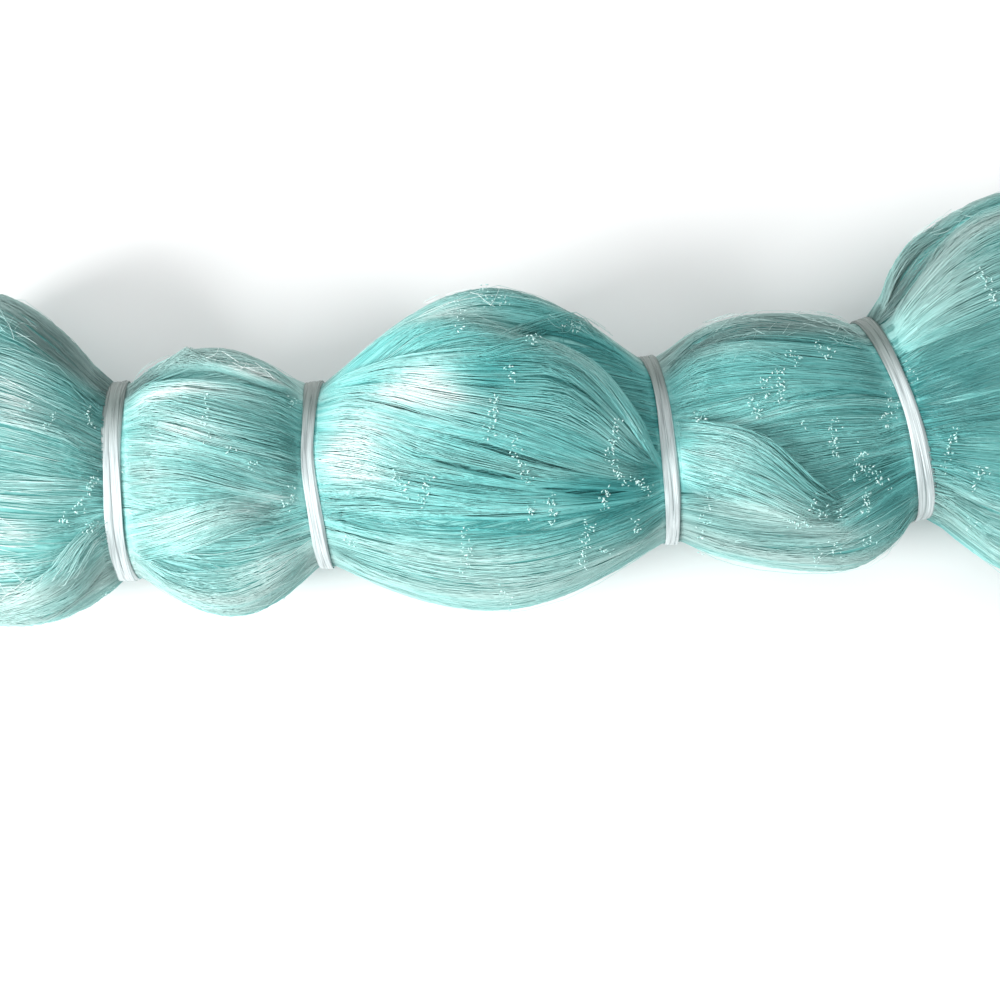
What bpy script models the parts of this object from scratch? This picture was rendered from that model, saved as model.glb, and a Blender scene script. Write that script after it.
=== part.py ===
"""A bundle of stretched fishing net, drawn in by four film ties so that it swells into five lobes.

The bundle lies along X on the floor, which is Z = 0. Sizes in the tables are millimetres.
An angle round the bundle is 0 at its back edge (+Y), 90 on top, 180 at its front edge and 270 below.
"""

import math
import random
from collections import namedtuple

import bmesh
import bpy
from mathutils import Vector

MM = 0.001

# The rings of points that make the bundle's skin
POINTS_ROUND = 64
RING_CROWDING = 0.4
END_SWELL_RINGS = 7
END_CLOSE_RINGS = 8

# How the lobes stand. A fullness under 1 makes a side swell out sooner after its tie
TOP_FULLNESS = 0.8
UNDERSIDE_FULLNESS = 0.5
FLOOR_SAG = 5.0

# The flat that each tie presses into the bundle, and how soon the locks rise beside it
NECK_FLAT = 13.0
NECK_FADE = 9.0

# The film ties, a gap clear of the net, each a little narrower where it has bunched
TIE_GAP = 0.3
TIE_THICKNESS = 1.1
TIE_WIDTH = 9.0
TIE_WIDTH_WANDER = 1.3

# Where each tie draws the bundle in: the back and front edges seen from above, and the heights.
# The tie is widest at the last angle
Neck = namedtuple("Neck", "back front top bottom tie_wide_at")
NECKS = (
    Neck(back=(-200, 34), front=(-193, -64), top=99, bottom=14, tie_wide_at=40),
    Neck(back=(-102, 34), front=(-96, -58), top=98, bottom=16, tie_wide_at=75),
    Neck(back=(66, 47), front=(76, -46), top=100, bottom=17, tie_wide_at=150),
    Neck(back=(171, 66), front=(202, -33), top=100, bottom=14, tie_wide_at=200),
)

# The strip's section, as shares of its width and of its thickness, with a low fold near the middle
StripPoint = namedtuple("StripPoint", "across proud")
STRIP_SECTION = (
    StripPoint(across=-0.5, proud=0.0),
    StripPoint(across=0.5, proud=0.0),
    StripPoint(across=0.5, proud=0.7),
    StripPoint(across=0.18, proud=1.3),
    StripPoint(across=-0.2, proud=1.0),
    StripPoint(across=-0.5, proud=0.6),
)

# The lobes between two ties
Lobe = namedtuple("Lobe", "name back_peak front_peak back_full front_full height rings")
LOBES = (
    Lobe("lobe_1", back_peak=(-152, 52), front_peak=(-143, -83), back_full=1.0, front_full=0.95,
         height=112, rings=10),
    Lobe("lobe_2", back_peak=(-15, 82), front_peak=(-12, -81), back_full=1.0, front_full=1.0,
         height=128, rings=15),
    Lobe("lobe_3", back_peak=(128, 71), front_peak=(158, -60), back_full=0.6, front_full=0.8,
         height=112, rings=11),
)

# The two end lobes, where the net folds back on itself in side-by-side loops
End = namedtuple("End", "name neck side back_peak front_peak back_full front_full "
                        "back_corner front_corner tip height")
ENDS = (
    End("left_end", neck=0, side=-1, back_peak=(-276, 83), front_peak=(-243, -88), back_full=0.85,
        front_full=0.9, back_corner=(-312, 56), front_corner=(-306, -60), tip=27, height=116),
    End("right_end", neck=3, side=1, back_peak=(263, 133), front_peak=(268, -69), back_full=0.62,
        front_full=0.85, back_corner=(302, 104), front_corner=(306, -46), tip=28, height=122),
)
TIP_HEIGHT = 0.36

# The fronts of the loops at a tip: a row of small bulges on a broad one, as waves across the tip
LOOP_BULGE = 3.6
LOOP_WAVE = 5.2
LOOP_SHIFT = 0.7
TIP_BULGE = 2.4
TIP_WAVE = 2.1
TIP_SHIFT = -0.5

# The locks of net that lie proud of the rest: where each starts and finishes along its lobe, its
# angles round the bundle at the lobe's two ends and middle, and its size. The end lobes run
# tip-wards. A rise under 0 is a hollow that a lock leaves beside it
Lock = namedtuple("Lock", "lobe start finish first middle last half_width rise")
LOCKS = (
    Lock("left_end", 0.00, 1.00, 62, 40, 36, 15, 4.0),
    Lock("left_end", 0.00, 1.00, 90, 84, 80, 19, 5.0),
    Lock("left_end", 0.05, 0.95, 132, 142, 150, 15, 5.5),
    Lock("left_end", 0.10, 0.90, 158, 172, 178, 12, 5.0),
    Lock("lobe_1", 0.00, 1.00, 40, 32, 42, 14, 6.0),
    Lock("lobe_1", 0.00, 1.00, 72, 74, 80, 16, 3.5),
    Lock("lobe_1", 0.05, 0.72, 112, 104, 98, 13, 6.0),
    Lock("lobe_1", 0.10, 0.80, 134, 128, 126, 9, -3.0),
    Lock("lobe_1", 0.00, 1.00, 150, 152, 148, 14, 4.0),
    Lock("lobe_2", 0.00, 1.00, 28, 24, 34, 17, 5.0),
    Lock("lobe_2", 0.10, 1.00, 46, 62, 108, 22, 8.5),
    Lock("lobe_2", 0.48, 1.00, 26, 40, 70, 13, -5.0),
    Lock("lobe_2", 0.00, 0.90, 84, 92, 104, 20, 4.5),
    Lock("lobe_2", 0.00, 1.00, 108, 112, 118, 8, -3.0),
    Lock("lobe_2", 0.00, 1.00, 122, 128, 132, 18, 5.0),
    Lock("lobe_2", 0.00, 1.00, 156, 158, 154, 16, 4.0),
    Lock("lobe_3", 0.00, 1.00, 36, 40, 40, 15, 4.0),
    Lock("lobe_3", 0.00, 1.00, 66, 72, 78, 17, 3.5),
    Lock("lobe_3", 0.20, 1.00, 88, 96, 124, 11, -4.0),
    Lock("lobe_3", 0.00, 0.78, 110, 120, 146, 21, 9.0),
    Lock("lobe_3", 0.00, 1.00, 152, 158, 160, 12, 3.5),
    Lock("right_end", 0.00, 1.00, 24, 14, 20, 15, 8.0),
    Lock("right_end", 0.00, 0.90, 40, 30, 32, 8, -4.0),
    Lock("right_end", 0.05, 0.95, 54, 44, 48, 20, 6.5),
    Lock("right_end", 0.00, 1.00, 96, 88, 86, 20, 4.5),
    Lock("right_end", 0.00, 1.00, 134, 130, 124, 18, 5.0),
)
LOCK_SQUARENESS = 2.4
LOCK_FADE = 0.25

# Smaller swells spread all round each lobe
SWELLS_PER_LOBE = 11
SWELL_HALF_WIDTH = (9, 15)
SWELL_RISE = (1.5, 3.4)
SWELL_DRIFT = 9
SWELL_SCATTER = 0.3

# A ring of the bundle: its edges from above, its heights, its bow towards the tip, how nearly the
# tip has closed, which way the lobe faces, and how far along the lobe the ring is
Ring = namedtuple("Ring", "back front middle up down bow closing side lobe along")


def clear_scene():
    for obj in list(bpy.data.objects):
        bpy.data.objects.remove(obj)


def make_material(name, colour, roughness):
    """A Principled finish with no metal in it."""
    material = bpy.data.materials.new(name)
    material.use_nodes = True
    shader = material.node_tree.nodes["Principled BSDF"]
    shader.inputs["Base Color"].default_value = (*colour, 1.0)
    shader.inputs["Roughness"].default_value = roughness
    shader.inputs["Metallic"].default_value = 0.0
    return material


def neck_edge(neck, side):
    """The neck's back and front points moved half a flat along the bundle: side is -1, 0 or 1."""
    back, front = Vector(neck.back), Vector(neck.front)
    across = (back - front).normalized()
    step = Vector((across.y, -across.x)) * side * NECK_FLAT / 2
    return back + step, front + step


def swell(share, fullness):
    """How far a side has swelled, a given share of the way from the tie to the peak."""
    return math.sin(min(max(share, 0.0), 1.0) * math.pi / 2) ** fullness


def smooth(share):
    share = min(max(share, 0.0), 1.0)
    return share * share * (3 - 2 * share)


def outline_point(start, peak, finish, fullness, t):
    """A point of a lobe's edge seen from above, t of the way between its two ties."""
    x = start.x + (finish.x - start.x) * t
    tie = start if (x - peak[0]) * (start.x - peak[0]) >= 0 else finish
    share = (x - tie.x) / (peak[0] - tie.x)
    return Vector((x, tie.y + (peak[1] - tie.y) * swell(share, fullness)))


def open_ring(edges, top, bottom, side, lobe, along):
    """A ring of the stated heights. One that would reach below the floor is flattened there."""
    back, front = edges
    middle = (top + max(bottom, 0.0)) / 2
    return Ring(back, front, middle, top - middle, middle - bottom, 0.0, 0.0, side, lobe, along)


def neck_ring(neck, side):
    return open_ring(neck_edge(neck, side), neck.top, neck.bottom, 1, "neck", 0.0)


def eased(k, count):
    """Spacing that draws the rings a little closer together near the ties."""
    even = k / count
    crowded = 0.5 - 0.5 * math.cos(math.pi * even)
    return (1 - RING_CROWDING) * even + RING_CROWDING * crowded


def lobe_rings(lobe, left, right):
    """The rings of a lobe between two ties, the ties' own rings left out."""
    start_back, start_front = neck_edge(left, 1)
    end_back, end_front = neck_edge(right, -1)
    rings = []
    for k in range(1, lobe.rings):
        t = eased(k, lobe.rings)
        back = outline_point(start_back, lobe.back_peak, end_back, lobe.back_full, t)
        front = outline_point(start_front, lobe.front_peak, end_front, lobe.front_full, t)
        tie_top = left.top + (right.top - left.top) * t
        tie_bottom = left.bottom + (right.bottom - left.bottom) * t
        swelled = math.sin(math.pi * t)
        top = tie_top + (lobe.height - tie_top) * swelled ** TOP_FULLNESS
        bottom = tie_bottom - (tie_bottom + FLOOR_SAG) * swelled ** UNDERSIDE_FULLNESS
        rings.append(open_ring((back, front), top, bottom, 1, lobe.name, t))
    return rings


def end_rings(end):
    """The rings of an end lobe, from its tie to the line where its loops turn back."""
    neck = NECKS[end.neck]
    tie_back, tie_front = neck_edge(neck, end.side)
    back_peak, front_peak = Vector(end.back_peak), Vector(end.front_peak)
    total = END_SWELL_RINGS + END_CLOSE_RINGS
    rings = []
    for k in range(1, END_SWELL_RINGS + 1):
        share = k / END_SWELL_RINGS
        back = outline_point(tie_back, back_peak, back_peak, end.back_full, share)
        front = outline_point(tie_front, front_peak, front_peak, end.front_full, share)
        top = neck.top + (end.height - neck.top) * swell(share, TOP_FULLNESS)
        bottom = neck.bottom - (neck.bottom + FLOOR_SAG) * swell(share, UNDERSIDE_FULLNESS)
        rings.append(open_ring((back, front), top, bottom, end.side, end.name, k / total))
    widest = rings[-1]
    for k in range(1, END_CLOSE_RINGS + 1):
        turn = math.pi / 2 * k / END_CLOSE_RINGS
        out, left_over = math.sin(turn), math.cos(turn)
        edges = []
        for peak, corner in ((back_peak, end.back_corner), (front_peak, end.front_corner)):
            x = peak.x + (corner[0] - peak.x) * out
            edges.append(Vector((x, corner[1] + (peak.y - corner[1]) * left_over)))
        middle = widest.middle + (end.height * TIP_HEIGHT - widest.middle) * (1 - left_over)
        up, down = widest.up * left_over, widest.down * left_over
        along = (END_SWELL_RINGS + k) / total
        rings.append(Ring(*edges, middle, up, down, end.tip * out, out * out, end.side, end.name, along))
    return rings


def bundle_rings():
    """Every ring from the left tip to the right tip."""
    left_end, right_end = ENDS
    rings = list(reversed(end_rings(left_end)))
    for k, neck in enumerate(NECKS):
        rings += [neck_ring(neck, -1), neck_ring(neck, 1)]
        if k < len(LOBES):
            rings += lobe_rings(LOBES[k], neck, NECKS[k + 1])
    return rings + end_rings(right_end)


def random_swells(name, seed):
    """The lesser locks of a lobe, each with its own angle, drift, width and rise."""
    dice = random.Random(seed)
    rows = []
    for k in range(SWELLS_PER_LOBE):
        angle = 360 * (k + dice.uniform(-SWELL_SCATTER, SWELL_SCATTER)) / SWELLS_PER_LOBE
        drift = dice.uniform(-SWELL_DRIFT, SWELL_DRIFT)
        width = dice.uniform(*SWELL_HALF_WIDTH)
        rise = dice.uniform(*SWELL_RISE)
        rows.append(Lock(name, 0.0, 1.0, angle - drift, angle + drift / 2, angle + drift, width, rise))
    return rows


def all_locks():
    locks = list(LOCKS)
    names = [ENDS[0].name, *(lobe.name for lobe in LOBES), ENDS[1].name]
    for seed, name in enumerate(names):
        locks += random_swells(name, seed)
    return locks


def lock_angle(lock, t):
    """The lock's angle round the bundle, on a smooth curve through its three stated ones."""
    return (
        lock.first * (1 - t) * (1 - 2 * t)
        + lock.middle * 4 * t * (1 - t)
        + lock.last * t * (2 * t - 1)
    )


def lock_height(locks, ring, angle):
    """How far the locks lift the surface at this ring and angle."""
    reach = (ring.back - ring.front).length / 2
    lift = 0.0
    for lock in locks:
        share = (ring.along - lock.start) / (lock.finish - lock.start)
        if lock.lobe != ring.lobe or not 0 <= share <= 1:
            continue
        off = (angle - lock_angle(lock, ring.along) + 180) % 360 - 180
        across = abs(math.radians(off)) * reach / lock.half_width
        if across < 1:
            starts = 1.0 if lock.start == 0 else smooth(share / LOCK_FADE)
            finishes = 1.0 if lock.finish == 1 else smooth((1 - share) / LOCK_FADE)
            lift += lock.rise * (1 - across ** LOCK_SQUARENESS) * starts * finishes
    return lift


def tie_distance(ring):
    """How far a ring lies from the nearest tie's flat, along the bundle."""
    middle = (ring.back + ring.front) / 2
    gaps = []
    for neck in NECKS:
        for side in (-1, 1):
            back, front = neck_edge(neck, side)
            gaps.append((middle - (back + front) / 2).length)
    return min(gaps)


def loop_bulge(across):
    """How far the loops' rounded fronts stand out, across the tip from -1 in front to 1 behind."""
    loops = LOOP_BULGE * abs(math.cos(LOOP_WAVE * across + LOOP_SHIFT))
    return loops + TIP_BULGE * math.cos(TIP_WAVE * across + TIP_SHIFT)


def surface_point(locks, ring, k):
    """Point k round a ring, with its locks, held up by the floor."""
    angle = 360 * k / POINTS_ROUND
    across, up = math.cos(math.radians(angle)), math.sin(math.radians(angle))
    half = (ring.back - ring.front) / 2
    side = half.normalized()
    forward = Vector((side.y, -side.x)) * ring.side
    lift = lock_height(locks, ring, angle) * smooth(tie_distance(ring) / NECK_FADE) * (1 - ring.closing)
    plan = (ring.back + ring.front) / 2 + half * across + side * across * lift
    plan += forward * (ring.bow * (1 - across * across) + loop_bulge(across) * ring.closing)
    z = ring.middle + (ring.up if up > 0 else ring.down) * up + lift * up
    return Vector((plan.x, plan.y, max(z, 0.0)))


def plan_middle(rows):
    """The middle of the bundle seen from above, which goes to the origin."""
    xs = [p.x for row in rows for p in row]
    ys = [p.y for row in rows for p in row]
    return Vector(((min(xs) + max(xs)) / 2, (min(ys) + max(ys)) / 2, 0.0))


def bridge(mesh, rows):
    """Faces between neighbouring rows of corners, each row a closed ring."""
    for first, second in zip(rows, rows[1:]):
        for k in range(len(first)):
            after = (k + 1) % len(first)
            mesh.faces.new((first[k], first[after], second[after], second[k]))


def add_object(name, mesh, material):
    data = bpy.data.meshes.new(name)
    bmesh.ops.recalc_face_normals(mesh, faces=mesh.faces)
    mesh.to_mesh(data)
    mesh.free()
    data.materials.append(material)
    data.shade_smooth()
    obj = bpy.data.objects.new(name, data)
    bpy.context.scene.collection.objects.link(obj)


def seam(mesh, row):
    """The corners of a tip's ring, where the top and the underside share one line."""
    line = [mesh.verts.new(p) for p in row[: POINTS_ROUND // 2 + 1]]
    return [line[min(k, POINTS_ROUND - k)] for k in range(POINTS_ROUND)]


def build_bundle(rows, origin, material):
    mesh = bmesh.new()
    placed = [[(p - origin) * MM for p in row] for row in rows]
    corners = [seam(mesh, placed[0])]
    corners += [[mesh.verts.new(p) for p in row] for row in placed[1:-1]]
    corners.append(seam(mesh, placed[-1]))
    bridge(mesh, corners)
    add_object("net_hank", mesh, material)


def build_tie(name, neck, origin, material):
    """A flat strip of film, drawn tight round a neck."""
    mesh = bmesh.new()
    back, front = neck_edge(neck, 0)
    half = (back - front) / 2
    side = half.normalized()
    along = Vector((side.y, -side.x))
    middle = (neck.top + neck.bottom) / 2
    tall = (neck.top - neck.bottom) / 2
    rows = []
    for k in range(POINTS_ROUND):
        angle = math.tau * k / POINTS_ROUND
        width = TIE_WIDTH + TIE_WIDTH_WANDER * math.cos(angle - math.radians(neck.tie_wide_at))
        row = []
        for point in STRIP_SECTION:
            out = TIE_GAP + TIE_THICKNESS * point.proud
            plan = (back + front) / 2 + side * math.cos(angle) * (half.length + out)
            plan += along * point.across * width
            z = middle + math.sin(angle) * (tall + out)
            row.append(mesh.verts.new((Vector((plan.x, plan.y, z)) - origin) * MM))
        rows.append(row)
    bridge(mesh, rows + rows[:1])
    add_object(name, mesh, material)


def build():
    clear_scene()
    netting = make_material("aqua_monofilament", (0.30, 0.62, 0.58), 0.38)
    film = make_material("white_film", (0.82, 0.80, 0.82), 0.35)
    locks = all_locks()
    rows = [[surface_point(locks, ring, k) for k in range(POINTS_ROUND)] for ring in bundle_rings()]
    origin = plan_middle(rows)
    build_bundle(rows, origin, netting)
    for k, neck in enumerate(NECKS, start=1):
        build_tie(f"tie_band_{k}", neck, origin, film)


build()
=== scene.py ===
"""A bundle of fishing net: silky nylon monofilament, gathered and drawn in by strips of white film.

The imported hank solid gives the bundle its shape. Over a copy of it lie the net's own filaments, in
wisps that run from tie to tie, the broader locks that show in the photo, and the net's knots.
"""

import math
from collections import namedtuple

import bpy
import numpy as np
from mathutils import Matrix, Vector
from mathutils.bvhtree import BVHTree


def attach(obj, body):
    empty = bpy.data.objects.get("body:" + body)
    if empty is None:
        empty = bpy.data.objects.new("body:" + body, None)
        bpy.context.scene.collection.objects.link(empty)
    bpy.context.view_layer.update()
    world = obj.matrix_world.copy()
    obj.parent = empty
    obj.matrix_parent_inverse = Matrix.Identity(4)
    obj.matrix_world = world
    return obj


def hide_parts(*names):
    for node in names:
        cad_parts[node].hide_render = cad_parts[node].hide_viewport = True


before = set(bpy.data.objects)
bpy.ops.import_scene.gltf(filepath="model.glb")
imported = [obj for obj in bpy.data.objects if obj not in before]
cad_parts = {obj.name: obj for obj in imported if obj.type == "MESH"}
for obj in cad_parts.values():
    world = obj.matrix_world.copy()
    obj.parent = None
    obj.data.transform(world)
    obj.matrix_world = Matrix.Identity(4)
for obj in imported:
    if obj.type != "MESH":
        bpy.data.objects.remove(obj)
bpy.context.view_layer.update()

MM = 0.001
UP = Vector((0, 0, 1))
ALONG = Vector((1, 0, 0))

# The photo's frame: where its middle pixel falls on the bundle, and how much a pixel spans there
PIXELS = 1000
MM_PER_PIXEL = 0.5
PHOTO_MIDDLE = Vector((-8.2, -48.0, 58.0)) * MM
CAMERA_DISTANCE = 1.07
CAMERA_ELEVATION = math.radians(80)
SENSOR_MM = 36.0

# The filaments. The real ones are 0.15 to 0.2 mm, so these are drawn coarser, as pairs that cling
FILAMENT_RADIUS = 0.155 * MM
FLYAWAY_RADIUS = 0.12 * MM
FILAMENT_SIDES = 3
TIE_SLOPE = 10.0 * MM
TUCKED_START = 0.45
SKIN_DEPTH = 1.8
CORE_DEPTH = 2.4
CORE_UNDER_DEPTH = 1.8
NECK_DEPTH = 1.0
CORE_CLEARANCE = 0.8
BACK_SLACK = {"lobe_1": 2.6, "lobe_2": 3.4, "right_end": 1.5}
MIDDLE_RADIUS = 75.0

# How finely each lobe's surface is read from the solid
GRID_ROWS = 72
GRID_COLUMNS = 240
SURFACE_PASSES = 12

# The lobes between two ties, and the two end lobes, whose strands turn back over the tip. A focus is
# the point in an end lobe from which its tip is read, over a fan of the stated half-width
Lobe = namedtuple("Lobe", "name left right stations wisps")
LOBES = (
    Lobe("lobe_1", "tie_band_1", "tie_band_2", stations=10, wisps=148),
    Lobe("lobe_2", "tie_band_2", "tie_band_3", stations=13, wisps=138),
    Lobe("lobe_3", "tie_band_3", "tie_band_4", stations=11, wisps=148),
)
End = namedtuple("End", "name tie forward focus fan stations wisps")
ENDS = (
    End("left_end", "tie_band_1", forward=-1, focus=(-262, -25, 48), fan=48, stations=9, wisps=104),
    End("right_end", "tie_band_4", forward=1, focus=(266, 9, 48), fan=62, stations=10, wisps=108),
)
STRAIGHT_SHARE = 0.5
UNDER_STATIONS = (0.9, 0.78, 0.65, 0.47, 0.08, 0.0)
UNDER_SCATTER = 0.03

# The wisps: how many filaments in each, how wide and thick they are, and how they wander
STRANDS_PER_WISP = 14
WISP_HALF_WIDTH = (1.8, 7.0)
WISP_LAYER = (0.0, 0.9)
WISP_THICKNESS = (0.15, 0.6)
WISP_DRIFT = 3.0
WISP_WAVE = 0.6
STRAND_WANDER = 0.3
TOP_SHARE = 0.86
BASE_TINT = 0.45
LOCK_STEP = 28
LOCK_STAGGER = 0.38
GUIDE_PLACES = 41
FLYAWAYS = 36

# Smooth fields that bend and tint neighbouring strands together, like combed hair: how many waves fit
# round a lobe or across a lock, with the reach of each in degrees, in shares of the lock or in tint
LOBE_FLOW = ((5, 2.4), (12, 1.1), (29, 0.5))
LOCK_FLOW = ((2, 0.020), (5, 0.010), (13, 0.004))
LOBE_STREAKS = ((17, 0.035), (43, 0.035), (97, 0.025))
LOCK_STREAKS = ((4, 0.03), (11, 0.035), (27, 0.025))

# Pleats where the net is drawn together at a tie: how many there are round it, and how far they run
PLEATS = 46
PLEAT_REACH = 16.0 * MM
PLEAT_DEPTH = 0.7
PLEAT_SHADE_TINT = 0.11
FLYAWAY_RISE = (1.2, 3.8)

# The broad locks that lie over the base wisps. Their guide lines are traced in the photo's
# pixels, from a lock's upper edge to its lower one, and from one tie to the next or, on an end lobe,
# from the tie outwards. The rises are the heights over the base, in mm, at the upper edge, the middle
# and the lower edge. A looseness of 1 is a layer of separate wisps, and 0 a smooth one. A lock lies
# between both ties, or starts or finishes at one and tucks under the rest, or is loose at both ends
Lock = namedtuple("Lock", "lobe strands rises tint looseness ends lines")
LOCKS = (
    # The front layer of the first lobe, which slopes down to the right
    Lock("lobe_1", 330, (3.0, 2.4, 1.2), 0.54, 0.9, "ties", (
        ((122, 402), (148, 386), (177, 382), (207, 385), (253, 391), (284, 400), (315, 412)),
        ((122, 428), (160, 432), (200, 444), (240, 458), (280, 470), (318, 480)),
        ((122, 492), (160, 488), (200, 488), (240, 494), (280, 502), (320, 508)),
    )),
    # The back layer that arches over it
    Lock("lobe_1", 90, (1.0, 2.0, 1.4), 0.50, 0.8, "ties", (
        ((124, 388), (150, 373), (178, 364), (208, 362), (238, 369), (264, 381), (312, 398)),
        ((128, 396), (155, 384), (180, 376), (208, 372), (238, 378), (262, 389), (312, 402)),
    )),
    # The lens-shaped swirl
    Lock("lobe_1", 210, (0.4, 1.7, 1.5), 0.56, 0.8, "start", (
        ((122, 522), (148, 513), (184, 502), (220, 496), (252, 500), (290, 509)),
        ((124, 548), (158, 538), (192, 524), (222, 512), (252, 510), (290, 516)),
        ((125, 566), (158, 559), (192, 549), (222, 537), (252, 526), (288, 524)),
    )),
    # The main layer of the middle lobe, which sweeps down to the middle of the third tie
    Lock("lobe_2", 520, (3.4, 2.8, 1.4), 0.60, 1.0, "ties", (
        ((322, 393), (350, 376), (400, 358), (460, 350), (520, 352), (570, 368), (605, 395),
         (632, 430), (650, 452), (668, 464)),
        ((322, 402), (350, 390), (400, 394), (448, 409), (516, 424), (575, 444), (625, 463), (668, 472)),
        ((322, 426), (368, 430), (400, 441), (427, 452), (474, 464), (525, 477), (570, 484), (613, 487),
         (668, 480)),
        ((324, 522), (380, 518), (440, 521), (500, 522), (560, 516), (610, 507), (645, 498), (670, 490)),
    )),
    # Its rolled edge, the pale crescent
    Lock("lobe_2", 170, (5.2, 5.8, 4.6), 0.58, 0.15, "finish", (
        ((440, 364), (480, 352), (520, 346), (556, 352), (590, 370), (618, 404), (638, 436),
         (655, 460), (668, 472)),
        ((445, 370), (480, 364), (520, 361), (556, 366), (588, 388), (612, 419), (632, 446),
         (650, 466), (668, 477)),
    )),
    # A loose tuft in the hollow behind it
    Lock("lobe_2", 45, (1.5, 3.0, 1.5), 0.55, 1.0, "loose", (
        ((492, 338), (520, 326), (550, 316), (580, 317), (602, 326)),
        ((496, 345), (530, 339), (560, 334), (585, 334), (604, 338)),
    )),
    # The leaf-shaped lock of the next lobe, which ends in a fringe of knots
    Lock("lobe_3", 340, (4.4, 3.8, 1.4), 0.56, 0.8, "start", (
        ((668, 412), (699, 421), (728, 427), (749, 432), (774, 446), (796, 464), (813, 480), (831, 493),
         (852, 504)),
        ((672, 489), (713, 494), (746, 503), (774, 511), (795, 518), (815, 523), (840, 524)),
    )),
    # Its front layer, whose top edge stands over the dark back layer
    Lock("lobe_3", 210, (3.0, 1.6, 0.2), 0.46, 0.9, "ties", (
        ((660, 378), (690, 356), (722, 345), (760, 341), (800, 343), (835, 348), (876, 346)),
        ((666, 404), (700, 398), (740, 394), (780, 391), (820, 391), (860, 394), (898, 396)),
    )),
    # Loose wavy strands at its back
    Lock("lobe_3", 50, (1.6, 2.4, 1.6), 0.60, 1.0, "loose", (
        ((676, 374), (700, 355), (730, 347), (760, 350), (790, 360), (824, 364)),
        ((678, 394), (705, 374), (735, 364), (765, 366), (795, 373), (826, 376)),
    )),
    # The short curl along the rim of the right end
    Lock("right_end", 90, (1.0, 2.8, 2.8), 0.60, 0.4, "start", (
        ((862, 316), (871, 302), (880, 284), (889, 266), (902, 248), (918, 234), (940, 222)),
        ((868, 326), (885, 312), (896, 292), (906, 272), (918, 257), (934, 244), (958, 232)),
    )),
    # The broad lock beside the curl
    Lock("right_end", 300, (2.6, 3.2, 1.6), 0.62, 0.8, "start", (
        ((870, 332), (896, 314), (912, 288), (928, 264), (950, 238), (985, 212), (1040, 202), (1100, 206)),
        ((876, 346), (908, 330), (932, 308), (958, 286), (990, 268), (1020, 256), (1060, 250), (1105, 250)),
        ((882, 360), (917, 350), (950, 338), (985, 324), (1015, 312), (1045, 303), (1075, 298), (1108, 297)),
    )),
    # Loose curls at the front of the left end
    Lock("left_end", 60, (2.6, 4.6, 2.6), 0.72, 1.0, "loose", (
        ((112, 516), (90, 524), (70, 541), (48, 568), (26, 592)),
        ((116, 534), (100, 544), (84, 561), (70, 584), (58, 606)),
    )),
    # The lock below them
    Lock("left_end", 180, (2.6, 3.6, 1.8), 0.50, 1.0, "start", (
        ((124, 536), (100, 540), (80, 546), (58, 559), (33, 578), (0, 595), (-45, 604)),
        ((128, 558), (104, 566), (90, 580), (72, 598), (43, 612), (0, 621), (-45, 628)),
    )),
)

# The dark lines where wisps part, traced in the photo's pixels, with a half-width and a depth
Parting = namedtuple("Parting", "lobe half_width depth line")
PARTINGS = (
    Parting("left_end", 1.2, 1.2, ((100, 452), (60, 448), (20, 446), (-10, 447))),
    Parting("left_end", 1.6, 1.5, ((105, 528), (70, 536), (30, 552), (5, 570))),
    Parting("lobe_1", 1.8, 2.2, ((132, 392), (165, 378), (205, 376), (245, 384), (290, 402))),
    Parting("lobe_1", 0.8, 0.9, ((216, 545), (240, 536), (262, 529), (300, 526))),
    Parting("lobe_1", 1.3, 2.0, ((150, 563), (190, 568), (232, 564))),
    Parting("lobe_1", 1.6, 2.0, ((178, 606), (230, 609), (288, 605))),
    Parting("lobe_2", 1.8, 2.4, ((322, 508), (400, 521), (480, 525), (560, 525), (655, 505))),
    Parting("lobe_2", 1.3, 2.2, ((476, 386), (497, 393), (520, 400))),
    Parting("lobe_2", 1.3, 2.0, ((343, 400), (362, 390), (386, 383))),
    Parting("lobe_2", 1.2, 2.0, ((422, 454), (470, 466), (526, 478))),
    Parting("lobe_2", 1.4, 2.2, ((540, 376), (575, 390), (600, 414))),
    Parting("lobe_2", 1.6, 2.4, ((515, 330), (550, 338), (600, 345))),
    Parting("lobe_2", 1.3, 1.8, ((540, 486), (590, 493), (640, 494))),
    Parting("lobe_3", 1.2, 1.1, ((666, 356), (700, 346), (760, 343), (820, 347), (866, 340))),
    Parting("lobe_3", 1.2, 1.8, ((780, 394), (830, 397), (876, 392))),
    Parting("lobe_3", 1.6, 2.4, ((674, 490), (700, 499), (735, 511))),
    Parting("lobe_3", 1.2, 1.8, ((700, 545), (745, 548), (795, 546))),
    Parting("right_end", 2.2, 2.4, ((876, 330), (892, 314), (904, 298), (919, 276), (936, 261), (960, 250))),
)
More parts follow.
